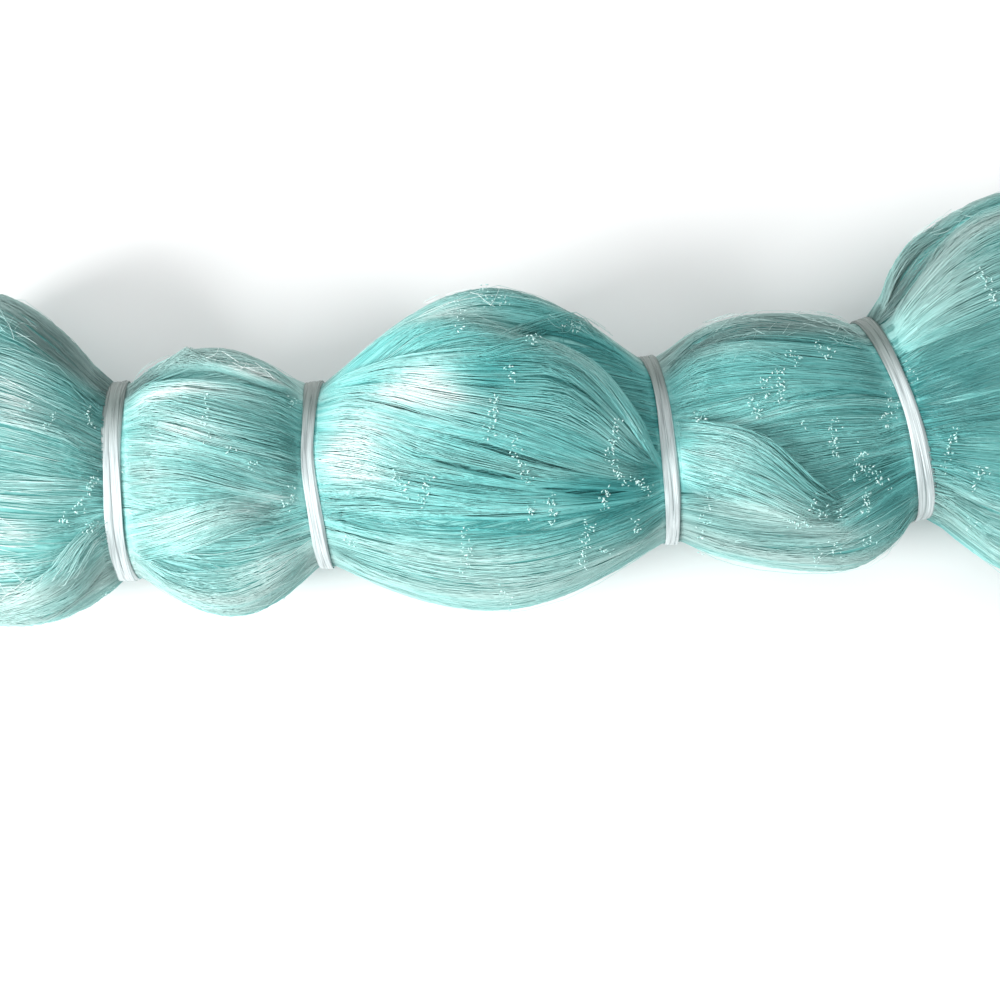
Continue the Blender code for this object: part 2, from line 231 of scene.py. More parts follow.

# Hollows, where the net is sunk and its colour darkened in painted shade, crests, where it is lifted and its
# colour lightened in painted highlight, and stretches where its colour is made weaker, in painted shade: how
# far each reaches and what it adds, in mm and in shares
Patch = namedtuple("Patch", "lobe pixel half_length half_width lift tint grey")
PATCHES = (
    Patch("left_end", (90, 400), 14, 20, 0.0, -0.20, 0.0),
    Patch("left_end", (82, 362), 34, 24, -0.6, -0.50, 0.9),
    Patch("left_end", (46, 338), 26, 22, -0.4, -0.40, 0.9),
    Patch("left_end", (8, 395), 22, 26, 0.0, 0.38, 0.0),
    Patch("left_end", (6, 540), 22, 24, 0.3, 0.56, 0.0),
    Patch("left_end", (36, 566), 20, 14, 0.3, -0.06, 0.0),
    Patch("left_end", (35, 455), 34, 30, 0.0, 0.24, 0.0),
    Patch("left_end", (100, 548), 8, 12, 0.0, 0.26, 0.0),
    Patch("left_end", (100, 575), 10, 14, 0.0, 0.06, 0.6),
    Patch("left_end", (72, 580), 12, 16, 0.0, -0.16, 0.2),
    Patch("left_end", (99, 526), 8, 8, 0.0, 0.18, 0.0),
    Patch("left_end", (100, 452), 8, 16, 0.0, 0.16, 0.0),
    Patch("lobe_1", (150, 405), 14, 16, 0.3, 0.28, 0.0),
    Patch("lobe_1", (145, 480), 12, 30, 0.0, 0.16, 0.5),
    Patch("lobe_1", (215, 392), 30, 8, 0.0, 0.26, 0.0),
    Patch("lobe_1", (190, 430), 20, 12, 0.0, 0.36, 0.0),
    Patch("lobe_1", (188, 392), 14, 7, 0.0, 0.24, 0.0),
    Patch("lobe_1", (258, 376), 16, 6, 0.0, 0.34, 0.3),
    Patch("lobe_1", (290, 430), 10, 20, 0.0, -0.10, 0.0),
    Patch("lobe_1", (175, 508), 26, 14, 0.3, 0.08, 0.0),
    Patch("lobe_1", (256, 508), 20, 12, 0.4, 0.34, 0.0),
    Patch("lobe_1", (272, 568), 24, 16, 0.2, 0.38, 0.2),
    Patch("lobe_1", (210, 355), 26, 8, 0.0, 0.06, 1.0),
    Patch("lobe_1", (272, 376), 20, 8, 0.0, 0.12, 0.4),
    Patch("lobe_1", (220, 588), 30, 12, 0.0, -0.02, 0.2),
    Patch("lobe_1", (134, 390), 9, 13, 0.0, -0.72, 1.0),
    Patch("lobe_1", (160, 374), 10, 5, 0.0, -0.35, 0.6),
    Patch("lobe_2", (352, 454), 22, 26, 0.4, 0.50, 0.0),
    Patch("lobe_2", (342, 412), 8, 8, 0.0, 0.16, 0.0),
    Patch("lobe_2", (340, 372), 10, 8, 0.0, 0.14, 0.0),
    Patch("lobe_2", (400, 352), 14, 6, 0.0, 0.16, 0.0),
    Patch("lobe_2", (455, 400), 14, 10, 0.0, 0.32, 0.0),
    Patch("lobe_2", (340, 550), 14, 10, 0.0, -0.20, 0.0),
    Patch("lobe_2", (430, 590), 16, 6, 0.0, -0.22, 0.0),
    Patch("lobe_2", (452, 311), 18, 8, 0.0, 0.34, 0.0),
    Patch("lobe_2", (420, 390), 24, 12, 0.3, 0.46, 0.0),
    Patch("lobe_2", (488, 373), 20, 8, 0.0, -0.44, 0.0),
    Patch("lobe_2", (475, 492), 34, 12, 0.0, -0.06, 0.0),
    Patch("lobe_2", (415, 553), 24, 8, 0.0, -0.14, 0.0),
    Patch("lobe_2", (618, 436), 12, 8, 0.0, 0.16, 0.0),
    Patch("lobe_2", (582, 448), 12, 9, 0.0, -0.06, 0.0),
    Patch("lobe_2", (642, 426), 8, 10, 0.0, -0.26, 0.0),
    Patch("lobe_2", (400, 310), 36, 14, 0.0, 0.14, 0.0),
    Patch("lobe_2", (560, 338), 26, 6, -1.5, -0.24, 0.0),
    Patch("lobe_2", (600, 325), 30, 10, 0.0, -0.10, 0.5),
    Patch("lobe_2", (634, 392), 17, 26, -1.5, -0.32, 0.2),
    Patch("lobe_2", (520, 455), 40, 24, 0.0, -0.10, 0.0),
    Patch("lobe_2", (616, 482), 26, 18, 0.0, -0.46, 0.0),
    Patch("lobe_2", (470, 575), 50, 12, 0.0, 0.16, 0.3),
    Patch("lobe_3", (770, 325), 60, 12, -0.3, -0.38, 1.1),
    Patch("lobe_3", (690, 360), 16, 14, 0.0, -0.28, 0.5),
    Patch("lobe_3", (679, 348), 11, 9, 0.0, -0.42, 0.9),
    Patch("lobe_3", (896, 480), 14, 22, 0.0, -0.28, 0.0),
    Patch("lobe_3", (850, 509), 8, 8, 0.0, 0.16, 0.0),
    Patch("lobe_3", (850, 390), 14, 12, 0.0, -0.12, 0.0),
    Patch("lobe_3", (720, 456), 22, 18, 0.0, 0.20, 0.0),
    Patch("lobe_3", (765, 364), 60, 14, 0.0, -0.14, 0.0),
    Patch("lobe_3", (800, 500), 18, 11, 0.3, 0.26, 0.0),
    Patch("lobe_3", (838, 482), 24, 12, -1.2, -0.20, 0.0),
    Patch("lobe_3", (702, 492), 12, 8, 0.0, -0.38, 0.0),
    Patch("lobe_3", (796, 531), 24, 7, 0.0, -0.26, 0.0),
    Patch("lobe_3", (790, 550), 40, 12, 0.0, 0.02, 0.3),
    Patch("right_end", (893, 300), 20, 18, 0.0, -0.36, 0.9),
    Patch("right_end", (940, 290), 30, 30, 0.0, -0.04, 0.8),
    Patch("right_end", (955, 393), 34, 44, 0.0, -0.37, 0.0),
    Patch("right_end", (1010, 350), 40, 60, 0.0, -0.18, 0.25),
    Patch("right_end", (965, 238), 30, 20, 0.0, -0.12, 0.5),
)

# Tufts of fine stray hairs that catch the light: the middle and half-size of each in the photo's
# pixels, and the number of hairs
Tuft = namedtuple("Tuft", "lobe middle half_size hairs")
TUFTS = (
    Tuft("lobe_1", (165, 368), (26, 8), 12), Tuft("lobe_1", (240, 366), (30, 8), 10),
    Tuft("lobe_2", (575, 330), (26, 10), 16), Tuft("lobe_2", (470, 300), (40, 8), 8),
    Tuft("lobe_3", (722, 322), (14, 10), 14), Tuft("lobe_3", (770, 332), (40, 14), 14),
    Tuft("lobe_3", (832, 332), (20, 18), 30), Tuft("lobe_3", (735, 352), (40, 10), 12),
    Tuft("right_end", (950, 228), (34, 14), 20), Tuft("right_end", (905, 330), (16, 20), 14),
    Tuft("left_end", (20, 590), (26, 20), 22), Tuft("left_end", (12, 330), (18, 16), 12),
)
TUFT_LENGTH = (7, 18)
TUFT_LEAN = 0.5
TUFT_BEND = 0.7
TUFT_RISE = (2.2, 3.8)
TUFT_STATIONS = 7

# The knots that show, as chains that run across the strands: the ends in the photo's pixels, and
# the number of knots
Chain = namedtuple("Chain", "lobe first last knots")
CHAINS = (
    Chain("left_end", (29, 405), (25, 412), 3), Chain("left_end", (54, 418), (45, 430), 4),
    Chain("left_end", (88, 407), (92, 430), 7), Chain("left_end", (100, 470), (84, 495), 10),
    Chain("left_end", (78, 500), (76, 512), 5), Chain("left_end", (63, 514), (66, 524), 4),
    Chain("left_end", (97, 520), (80, 530), 4),
    Chain("lobe_1", (205, 402), (208, 440), 8), Chain("lobe_1", (129, 445), (126, 472), 8),
    Chain("lobe_1", (293, 400), (291, 407), 3), Chain("lobe_1", (251, 463), (252, 471), 3),
    Chain("lobe_1", (293, 488), (286, 508), 7), Chain("lobe_1", (229, 450), (231, 457), 2),
    Chain("lobe_1", (132, 545), (134, 562), 5),
    Chain("lobe_2", (483, 290), (486, 312), 5), Chain("lobe_2", (455, 303), (460, 332), 6),
    Chain("lobe_2", (500, 299), (503, 312), 3), Chain("lobe_2", (520, 345), (535, 356), 6),
    Chain("lobe_2", (511, 366), (514, 381), 4), Chain("lobe_2", (497, 400), (490, 437), 14),
    Chain("lobe_2", (512, 436), (528, 478), 12), Chain("lobe_2", (398, 466), (409, 500), 7),
    Chain("lobe_2", (431, 470), (423, 507), 9), Chain("lobe_2", (467, 526), (466, 573), 11),
    Chain("lobe_2", (551, 497), (550, 524), 9), Chain("lobe_2", (528, 504), (531, 517), 4),
    Chain("lobe_2", (603, 489), (600, 510), 8), Chain("lobe_2", (612, 425), (607, 450), 9),
    Chain("lobe_2", (607, 450), (622, 480), 9), Chain("lobe_2", (624, 472), (648, 490), 9),
    Chain("lobe_2", (587, 520), (581, 562), 14), Chain("lobe_2", (598, 547), (612, 545), 4),
    Chain("lobe_2", (632, 520), (634, 531), 4), Chain("lobe_2", (499, 580), (513, 604), 5),
    Chain("lobe_2", (350, 535), (352, 543), 3), Chain("lobe_2", (564, 328), (580, 334), 5),
    Chain("lobe_3", (777, 370), (780, 402), 11), Chain("lobe_3", (764, 380), (767, 397), 6),
    Chain("lobe_3", (752, 402), (758, 417), 8), Chain("lobe_3", (811, 350), (830, 360), 6),
    Chain("lobe_3", (786, 360), (800, 366), 5), Chain("lobe_3", (698, 414), (703, 426), 4),
    Chain("lobe_3", (832, 421), (833, 456), 14), Chain("lobe_3", (802, 421), (805, 424), 2),
    Chain("lobe_3", (863, 446), (849, 483), 9), Chain("lobe_3", (860, 464), (883, 486), 11),
    Chain("lobe_3", (862, 492), (863, 513), 10), Chain("lobe_3", (888, 388), (893, 415), 8),
    Chain("lobe_3", (882, 418), (885, 425), 4), Chain("lobe_3", (785, 518), (812, 520), 9),
    Chain("lobe_3", (811, 495), (818, 511), 5), Chain("lobe_3", (825, 508), (836, 512), 4),
    Chain("lobe_3", (834, 539), (836, 551), 4), Chain("lobe_3", (868, 530), (864, 541), 4),
    Chain("lobe_3", (815, 549), (819, 561), 4), Chain("lobe_3", (712, 494), (702, 536), 8),
    Chain("right_end", (907, 366), (912, 383), 7), Chain("right_end", (957, 428), (950, 456), 8),
    Chain("right_end", (943, 461), (946, 469), 3), Chain("right_end", (985, 465), (976, 487), 6),
    Chain("right_end", (981, 276), (999, 309), 12), Chain("right_end", (972, 516), (974, 526), 3),
)
KNOT_RADIUS = 0.5
KNOT_SHAPE = (1.25, 0.85, 0.8)
KNOT_TAIL = (1.7, 0.9, 0.5)
KNOT_LINE = 0.2
KNOT_LIFT = 0.35
KNOT_SIZES = (0.4, 0.95)
KNOT_SCATTER = 3.0
KNOTS_DRAWN = 3.1
BASE_TOP = 2.3

# Where the photo doesn't reach, the chains of knots lie in rows one bar of mesh apart
MESH_BAR = 35.0
CHAIN_LENGTHS = (4, 10)
CHAINS_PER_ROW = 3

# The film ties: a band and narrower folds that lie on it, in mm. The widths are the band's, and the
# shifts how far it is drawn along the bundle, at the back, on top, in front and below. The side
# shifts a fold, as a share of the band's width
TIE_STATIONS = 128
TIE_LIFT = 0.55
FILM_TUCK = 0.45
TIE_WIDTHS = {
    "tie_band_1": (9.6, 8.6, 8.4, 8.4), "tie_band_2": (7.8, 6.3, 6.6, 7.5),
    "tie_band_3": (7.8, 6.8, 7.2, 7.6), "tie_band_4": (7.4, 7.8, 8.6, 8.0),
}
TIE_SHIFTS = {
    "tie_band_1": (0.0, -0.2, -1.3, 0.0), "tie_band_2": (0.0, -3.7, 0.2, 0.0),
    "tie_band_3": (-3.4, -1.0, -0.6, 0.0), "tie_band_4": (-1.3, 0.2, -0.7, 0.0),
}
TIE_COVERS = {"tie_band_1": 6.6, "tie_band_2": 4.5, "tie_band_3": 4.7, "tie_band_4": 6.1}
Fold = namedtuple("Fold", "side width lift wander turns")
FOLDS = (
    Fold(side=0.0, width=1.0, lift=0.0, wander=0.0, turns=1),
    Fold(side=-0.22, width=0.42, lift=0.35, wander=0.10, turns=2),
    Fold(side=0.16, width=0.34, lift=0.40, wander=0.12, turns=3),
    Fold(side=0.30, width=0.20, lift=0.55, wander=0.08, turns=2),
)
FILM_THICKNESS = 0.32
FOLD_CREASE = 0.16
FOLD_SECTION = 7
FILM_SHADE_SPREAD = (0.2, 1.0)
NECK_OFFSETS = np.linspace(-9, 9, 13)

# How the ties hold a lobe: how far along the bundle t goes at a tie as it goes from 0 to 1, and how
# far the film reaches over its start and its finish, which is None past the tip of an end lobe
Hold = namedtuple("Hold", "pace start finish")

# A lobe's surface as grids of points, normals and the photo's pixels, with the places that face the
# camera on a finer grid, for searches
Surface = namedtuple("Surface", "points normals length hold pixels search")
Search = namedtuple("Search", "t angle pixels")


def hex_colour(text):
    """An sRGB colour such as 7FD0C8 as linear red, green, blue and alpha."""
    shares = [int(text[k:k + 2], 16) / 255 for k in (0, 2, 4)]
    linear = [s / 12.92 if s <= 0.04045 else ((s + 0.055) / 1.055) ** 2.4 for s in shares]
    return (*linear, 1.0)


def new_material(name):
    material = bpy.data.materials.new(name)
    material.use_nodes = True
    return material, material.node_tree, material.node_tree.nodes["Principled BSDF"]


def add_node(tree, kind, settings=None, **links):
    """Adds a node. Settings are its attributes, and links are its inputs: a value or an output socket.

    An input's name is written with _ for a space, and inputs that share a name are numbered from 0.
    """
    node = tree.nodes.new(kind)
    for key, value in (settings or {}).items():
        setattr(node, key, value)
    for key, value in links.items():
        socket = node.inputs[int(key[1:])] if key[1:].isdigit() else node.inputs[key.replace("_", " ")]
        if isinstance(value, bpy.types.NodeSocket):
            tree.links.new(value, socket)
        else:
            socket.default_value = value
    return node


def colour_stops(ramp, stops):
    """Gives a colour ramp its stops, as pairs of a place and an sRGB hex colour."""
    elements = ramp.color_ramp.elements
    while len(elements) < len(stops):
        elements.new(0.5)
    for element, (place, colour) in zip(elements, stops):
        element.position = place
        element.color = hex_colour(colour)


# Colours of the netting, from the gaps between wisps to the crest of a lit wisp
# The colour is made weaker and a little greener where the bundle's surface faces to the front or back, as
# painted shade, and in some lobes more than in others
EDGE_SATURATION = 0.6
EDGE_HUE = 0.488
LOBE_PALENESS = {"left_end": 0.3, "lobe_1": 0.28, "lobe_3": 0.18, "right_end": 0.12}
NET_COLOURS = ((0.0, "349090"), (0.3, "5EB7B5"), (0.55, "88D3D0"), (0.8, "B6E8E5"), (1.0, "ECFCFA"))


def filament_material():
    """Nylon monofilament, drawn and heat set: a smooth, slightly clear round line with a clean gloss."""
    material, tree, shader = new_material("nylon_monofilament_drawn")
    tint = add_node(tree, "ShaderNodeAttribute", {"attribute_name": "tint"})
    ramp = add_node(tree, "ShaderNodeValToRGB", i0=tint.outputs["Fac"])
    colour_stops(ramp, NET_COLOURS)
    edge = add_node(tree, "ShaderNodeAttribute", {"attribute_name": "edge"})
    strength = add_node(
        tree, "ShaderNodeMapRange", {"clamp": False}, Value=edge.outputs["Fac"], To_Min=1.0,
        To_Max=EDGE_SATURATION,
    )
    hue = add_node(
        tree, "ShaderNodeMapRange", {"clamp": False}, Value=edge.outputs["Fac"], To_Min=0.5, To_Max=EDGE_HUE,
    )
    paled = add_node(
        tree, "ShaderNodeHueSaturation", Hue=hue.outputs["Result"], Saturation=strength.outputs["Result"],
        Color=ramp.outputs["Color"],
    )
    tree.links.new(paled.outputs["Color"], shader.inputs["Base Color"])
    shader.inputs["Roughness"].default_value = 0.34
    shader.inputs["IOR"].default_value = 1.53
    return material


def core_material():
    """The same nylon packed deep in the bundle, where it shows only as darker lines between wisps: its darker
    teal is painted shade.
    """
    material, tree, shader = new_material("nylon_monofilament_packed")
    place = add_node(tree, "ShaderNodeTexCoord").outputs["Object"]
    stretched = add_node(tree, "ShaderNodeMapping", Vector=place, Scale=(0.06, 1.0, 1.0))
    fine = add_node(tree, "ShaderNodeTexNoise", Vector=stretched.outputs["Vector"], Scale=900.0, Detail=3.0)
    broad = add_node(tree, "ShaderNodeTexNoise", Vector=stretched.outputs["Vector"], Scale=120.0, Detail=2.0)
    mixed = add_node(
        tree, "ShaderNodeMix", {"data_type": "FLOAT"}, i0=0.5, i2=fine.outputs["Fac"], i3=broad.outputs["Fac"],
    )
    ramp = add_node(tree, "ShaderNodeValToRGB", i0=mixed.outputs[0])
    colour_stops(ramp, ((0.35, "479693"), (0.5, "68B1AD"), (0.65, "8CCAC6")))
    bump = add_node(tree, "ShaderNodeBump", Height=mixed.outputs[0], Strength=0.7, Distance=0.6 * MM)
    tree.links.new(ramp.outputs["Color"], shader.inputs["Base Color"])
    tree.links.new(bump.outputs["Normal"], shader.inputs["Normal"])
    shader.inputs["Roughness"].default_value = 0.5
    shader.inputs["IOR"].default_value = 1.53
    return material


def knot_material():
    """Sheet-bend knots pulled tight in nylon line: each is a bead of crossing glints, near white."""
    material, tree, shader = new_material("nylon_monofilament_knotted")
    place = add_node(tree, "ShaderNodeTexCoord").outputs["Object"]
    mottle = add_node(tree, "ShaderNodeTexNoise", Vector=place, Scale=700.0, Detail=1.0)
    ramp = add_node(tree, "ShaderNodeValToRGB", i0=mottle.outputs["Fac"])
    colour_stops(ramp, ((0.35, "A6E2DC"), (0.62, "E0F8F5")))
    tree.links.new(ramp.outputs["Color"], shader.inputs["Base Color"])
    shader.inputs["Roughness"].default_value = 0.35
    shader.inputs["IOR"].default_value = 1.53
    return material


# What the film's colour is multiplied by round the back of each tie, in painted shade
FILM_BACK_SHADE = "949E98"


def film_material():
    """Split polypropylene film, drawn lengthwise until it fibrillates: white, with fine grey lines."""
    material, tree, shader = new_material("polypropylene_split_film")
    place = add_node(tree, "ShaderNodeUVMap", {"uv_map": "strip"}).outputs["UV"]
    drawn = add_node(tree, "ShaderNodeMapping", Vector=place, Scale=(0.7, 9.0, 1.0))
    lines = add_node(tree, "ShaderNodeTexNoise", Vector=drawn.outputs["Vector"], Scale=1.6, Detail=3.0)
    ramp = add_node(tree, "ShaderNodeValToRGB", i0=lines.outputs["Fac"])
    colour_stops(ramp, ((0.28, "8E999B"), (0.42, "B4BFC0"), (0.62, "D0DBDC")))
    # Painted shade: the film is darkened round the back of each tie
    thin = add_node(tree, "ShaderNodeAttribute", {"attribute_name": "thin"})
    shaded_film = add_node(
        tree, "ShaderNodeMix", {"data_type": "RGBA", "blend_type": "MULTIPLY"}, i0=thin.outputs["Fac"],
        i6=ramp.outputs["Color"], i7=hex_colour(FILM_BACK_SHADE),
    )
    bump = add_node(tree, "ShaderNodeBump", Height=lines.outputs["Fac"], Strength=0.35, Distance=0.2 * MM)
    tree.links.new(shaded_film.outputs[2], shader.inputs["Base Color"])
    tree.links.new(bump.outputs["Normal"], shader.inputs["Normal"])
    shader.inputs["Roughness"].default_value = 0.32
    shader.inputs["IOR"].default_value = 1.49
    return material


def floor_material():
    """Matt white studio paper."""
    material, tree, shader = new_material("studio_paper")
    shader.inputs["Base Color"].default_value = hex_colour("F4F4F4")
    shader.inputs["Roughness"].default_value = 0.9
    return material


# The camera

def camera_axes():
    """The camera's way back from the bundle, its right and its up."""
    back = Vector((0, -math.cos(CAMERA_ELEVATION), math.sin(CAMERA_ELEVATION)))
    right = Vector((1, 0, 0))
    return back, right, back.cross(right)


def pixels_of(points):
    """The photo's pixels at which points of the bundle show, as an array with x and y last."""
    back, right, up = (np.array(axis) for axis in camera_axes())
    seen = points - (np.array(PHOTO_MIDDLE) + back * CAMERA_DISTANCE)
    depth = -(seen @ back)
    focal = CAMERA_DISTANCE / (MM_PER_PIXEL * MM)
    return np.stack((PIXELS / 2 + seen @ right / depth * focal, PIXELS / 2 - seen @ up / depth * focal), -1)


# The hank's surface, lobe by lobe, as a grid of points from tie to tie and round the bundle

def hank_tree():
    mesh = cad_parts["net_hank"].data
    return BVHTree.FromPolygons([v.co for v in mesh.vertices], [p.vertices for p in mesh.polygons])


def tie_place(node):
    """The middle of a tie and its line across the bundle, from front to back."""
    corners = np.array([v.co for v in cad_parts[node].data.vertices])
    middle = (corners.min(0) + corners.max(0)) / 2
    rim = 4 * MM
    back = corners[corners[:, 1] > corners[:, 1].max() - rim].mean(0)
    front = corners[corners[:, 1] < corners[:, 1].min() + rim].mean(0)
    side = Vector((back[0] - front[0], back[1] - front[1], 0)).normalized()
    return Vector(middle), side


def blurred(grid):
    """The grid smoothed a little along the lobe and round it."""
    round_about = (np.roll(grid, 1, 1) + 2 * grid + np.roll(grid, -1, 1)) / 4
    ends = np.concatenate((round_about[:1], round_about, round_about[-1:]))
    return (ends[:-2] + 2 * ends[1:-1] + ends[2:]) / 4


def read_surface(tree, rays, hold, slack):
    """Casts a grid of rays from inside the hank, and keeps where each comes out and the way it faces.

    The surface is then sunk by the depth of the wisps that lie on it, but not under a tie. The slack,
    in mm, is how much further in it lies at the back.
    """
    points = np.zeros((GRID_ROWS, GRID_COLUMNS, 3))
    normals = np.zeros((GRID_ROWS, GRID_COLUMNS, 3))
    for r in range(GRID_ROWS):
        for c in range(GRID_COLUMNS):
            origin, direction = rays(r / (GRID_ROWS - 1), math.tau * c / GRID_COLUMNS)
            place, normal, _, _ = tree.ray_cast(origin, direction)
            points[r, c] = place
            normals[r, c] = normal if normal.dot(direction) > 0 else -normal
    top = points[:, GRID_COLUMNS // 4]
    length = np.linalg.norm(np.diff(top, axis=0), axis=1).sum()
    free = tie_fade(hold, np.linspace(0, 1, GRID_ROWS))[:, None, None]
    for _ in range(SURFACE_PASSES):
        points = points * (1 - free) + blurred(points) * free
        normals = blurred(normals)
    normals = unit(normals)
    depth = SKIN_DEPTH + slack * np.maximum(normals[..., 1:2], 0) ** 2
    points = points - normals * free * depth * MM
    pixels = pixels_of(points)
    t, angle = np.meshgrid(np.linspace(0, 1, 4 * GRID_ROWS), np.linspace(-30, 210, 481), indexing="ij")
    facing = sample(normals, t, angle) @ np.array(camera_axes()[0])
    seen = facing > 0.03
    search = Search(t[seen], angle[seen], sample(pixels, t[seen], angle[seen]))
    return Surface(points, normals, length, hold, pixels, search)


def lobe_rays(lobe):
    """The rays of a lobe between two ties, and how they hold it."""
    (start, start_side), (end, end_side) = tie_place(lobe.left), tie_place(lobe.right)
    left, right = TIE_SHIFTS[lobe.left], TIE_SHIFTS[lobe.right]

    def rays(t, angle):
        side = start_side.lerp(end_side, t).normalized()
        degrees = math.degrees(angle)
        shift = float(eased(left, degrees)) * (1 - t) + float(eased(right, degrees)) * t
        return start.lerp(end, t) + ALONG * shift * MM, side * math.cos(angle) + UP * math.sin(angle)

    covers = TIE_COVERS[lobe.left] * MM, TIE_COVERS[lobe.right] * MM
    return rays, Hold((end - start).length, *covers)


def end_rays(end):
    """The rays of an end lobe, and how its tie holds it."""
    start, start_side = tie_place(end.tie)
    focus = Vector(end.focus) * MM
    forward = Vector((end.forward, 0, 0))
    across = Vector((0, 1, 0))

    def rays(t, angle):
        if t < STRAIGHT_SHARE:
            share = t / STRAIGHT_SHARE
            side = start_side.lerp(across, share).normalized()
            shift = float(eased(TIE_SHIFTS[end.tie], math.degrees(angle))) * (1 - share) * MM
            return start.lerp(focus, share) + ALONG * shift, side * math.cos(angle) + UP * math.sin(angle)
        turn = math.pi / 2 * (t - STRAIGHT_SHARE) / (1 - STRAIGHT_SHARE)
        origin = focus + across * (math.cos(angle) * math.sin(turn) * end.fan * MM)
        radial = across * math.cos(angle) + UP * math.sin(angle)
        return origin, radial * math.cos(turn) + forward * math.sin(turn)

    return rays, Hold((focus - start).length / STRAIGHT_SHARE, TIE_COVERS[end.tie] * MM, None)


def sample(grid, t, angle):
    """The grid's value at arrays of t, from 0 to 1, and of angles in degrees."""
    rows, columns = grid.shape[:2]
    along = np.clip(t, 0, 1) * (rows - 1)
    around = (angle % 360) / 360 * columns
    r = np.minimum(along.astype(int), rows - 2)
    c = around.astype(int) % columns
    fr = (along - r)[..., None]
    fc = (around - np.floor(around))[..., None]
    after = (c + 1) % columns
    near = grid[r, c] * (1 - fc) + grid[r, after] * fc
    far = grid[r + 1, c] * (1 - fc) + grid[r + 1, after] * fc
    return near * (1 - fr) + far * fr


def place_of(surface, pixel):
    """The t and angle of the point on the lobe's upper side that shows nearest to a pixel."""
    search = surface.search
    gap = ((search.pixels - np.array(pixel)) ** 2).sum(-1)
    nearest = gap.argmin()
    return search.t[nearest], search.angle[nearest]


# Filaments

def smooth(share):
    share = np.clip(share, 0, 1)
    return share * share * (3 - 2 * share)


def tie_fade(hold, t):
    """0 under a tie and 1 clear of it, so that strands lie flat where the film holds them."""
    clear = smooth((t * hold.pace - hold.start) / TIE_SLOPE)
    if hold.finish:
        clear = clear * smooth(((1 - t) * hold.pace - hold.finish) / TIE_SLOPE)
    return clear


def eased(values, angle):
    """A value at angles round the bundle, eased between those at its back, top, front and underside."""
    stops = np.array([*values, values[0]])
    place = np.asarray(angle) % 360 / 90
    k = np.minimum(place.astype(int), 3)
    return stops[k] + (stops[k + 1] - stops[k]) * smooth(place - k)


def apart(angle, middle):
    """The signed difference of two angles in degrees."""
    return (angle - middle + 180) % 360 - 180


def curve_through(places, count):
    """A smooth curve through a few places, as an array of count points evenly spread along it."""
    places = np.array(places, float)
    padded = np.concatenate((2 * places[:1] - places[1:2], places, 2 * places[-1:] - places[-2:-1]))
    fine = []
    for a, b, c, d in zip(padded, padded[1:], padded[2:], padded[3:]):
        s = np.linspace(0, 1, 12, endpoint=False)[:, None]
        fine.append(
            (2 * b + (c - a) * s + (2 * a - 5 * b + 4 * c - d) * s ** 2 + (3 * b - a - 3 * c + d) * s ** 3) / 2
        )
    fine = np.concatenate(fine + [places[-1:]])
    gone = np.concatenate(((0,), np.cumsum(np.linalg.norm(np.diff(fine, axis=0), axis=1))))
    wanted = np.linspace(0, gone[-1], count)
    return np.stack([np.interp(wanted, gone, fine[:, k]) for k in range(fine.shape[1])], -1)


def surface_curve(surface, pixels, count):
    """A curve drawn in the photo's pixels, as count places of t and angle on a lobe's surface."""
    places = np.array([place_of(surface, pixel) for pixel in curve_through(pixels, count)])
    places[1:-1] = (places[:-2] + 2 * places[1:-1] + places[2:]) / 4
    return places


def unit(vectors):
    return vectors / np.maximum(np.linalg.norm(vectors, axis=-1, keepdims=True), 1e-12)


def tube_corners(points, normals, radius):
    """The corners of a tube round each strand: an array of strand, station, side and x, y, z."""
    way = unit(np.gradient(points, axis=1))
    side = unit(np.cross(way, normals))
    up = np.cross(side, way)
    turns = math.pi / 2 + math.tau * np.arange(FILAMENT_SIDES) / FILAMENT_SIDES
    spread = (
        side[:, :, None] * np.cos(turns)[None, None, :, None]
        + up[:, :, None] * np.sin(turns)[None, None, :, None]
    )
    return points[:, :, None] + spread * radius[:, None, None, None]


def tube_faces(strands, stations):
    """Corner numbers of the tubes' sides, four to a face, and of their closed ends, three to a face."""
    base = np.arange(strands)[:, None, None] * stations * FILAMENT_SIDES
    step = np.arange(stations - 1)[None, :, None] * FILAMENT_SIDES
    turn = np.arange(FILAMENT_SIDES)[None, None, :]
    after = (turn + 1) % FILAMENT_SIDES
    first = base + step
    sides = np.stack(
        (first + turn, first + FILAMENT_SIDES + turn, first + FILAMENT_SIDES + after, first + after), -1,
    ).reshape(-1, 4)
    start = np.arange(strands)[:, None] * stations * FILAMENT_SIDES + np.arange(FILAMENT_SIDES)
    finish = start + (stations - 1) * FILAMENT_SIDES
    return sides, np.concatenate((start, finish[:, ::-1]))


def mesh_object(name, corners, quads, triangles, material, **values):
    """A mesh object from arrays, shaded smooth, with any named values that its corners carry."""
    mesh = bpy.data.meshes.new(name)
    mesh.vertices.add(len(corners))
    mesh.vertices.foreach_set("co", corners.astype(np.float32).ravel())
    numbers = np.concatenate((quads.ravel(), triangles.ravel()))
    sizes = np.concatenate((np.full(len(quads), 4), np.full(len(triangles), 3)))
    mesh.loops.add(len(numbers))
    mesh.loops.foreach_set("vertex_index", numbers.astype(np.int32))
    mesh.polygons.add(len(sizes))
    mesh.polygons.foreach_set("loop_start", np.concatenate(((0,), np.cumsum(sizes)[:-1])).astype(np.int32))
    mesh.update(calc_edges=True)
    mesh.shade_smooth()
    for key, value in values.items():
        mesh.attributes.new(key, "FLOAT", "POINT").data.foreach_set("value", value.astype(np.float32).ravel())
    mesh.materials.append(material)
    mesh.validate()
    obj = bpy.data.objects.new(name, mesh)
    bpy.context.scene.collection.objects.link(obj)
    return obj


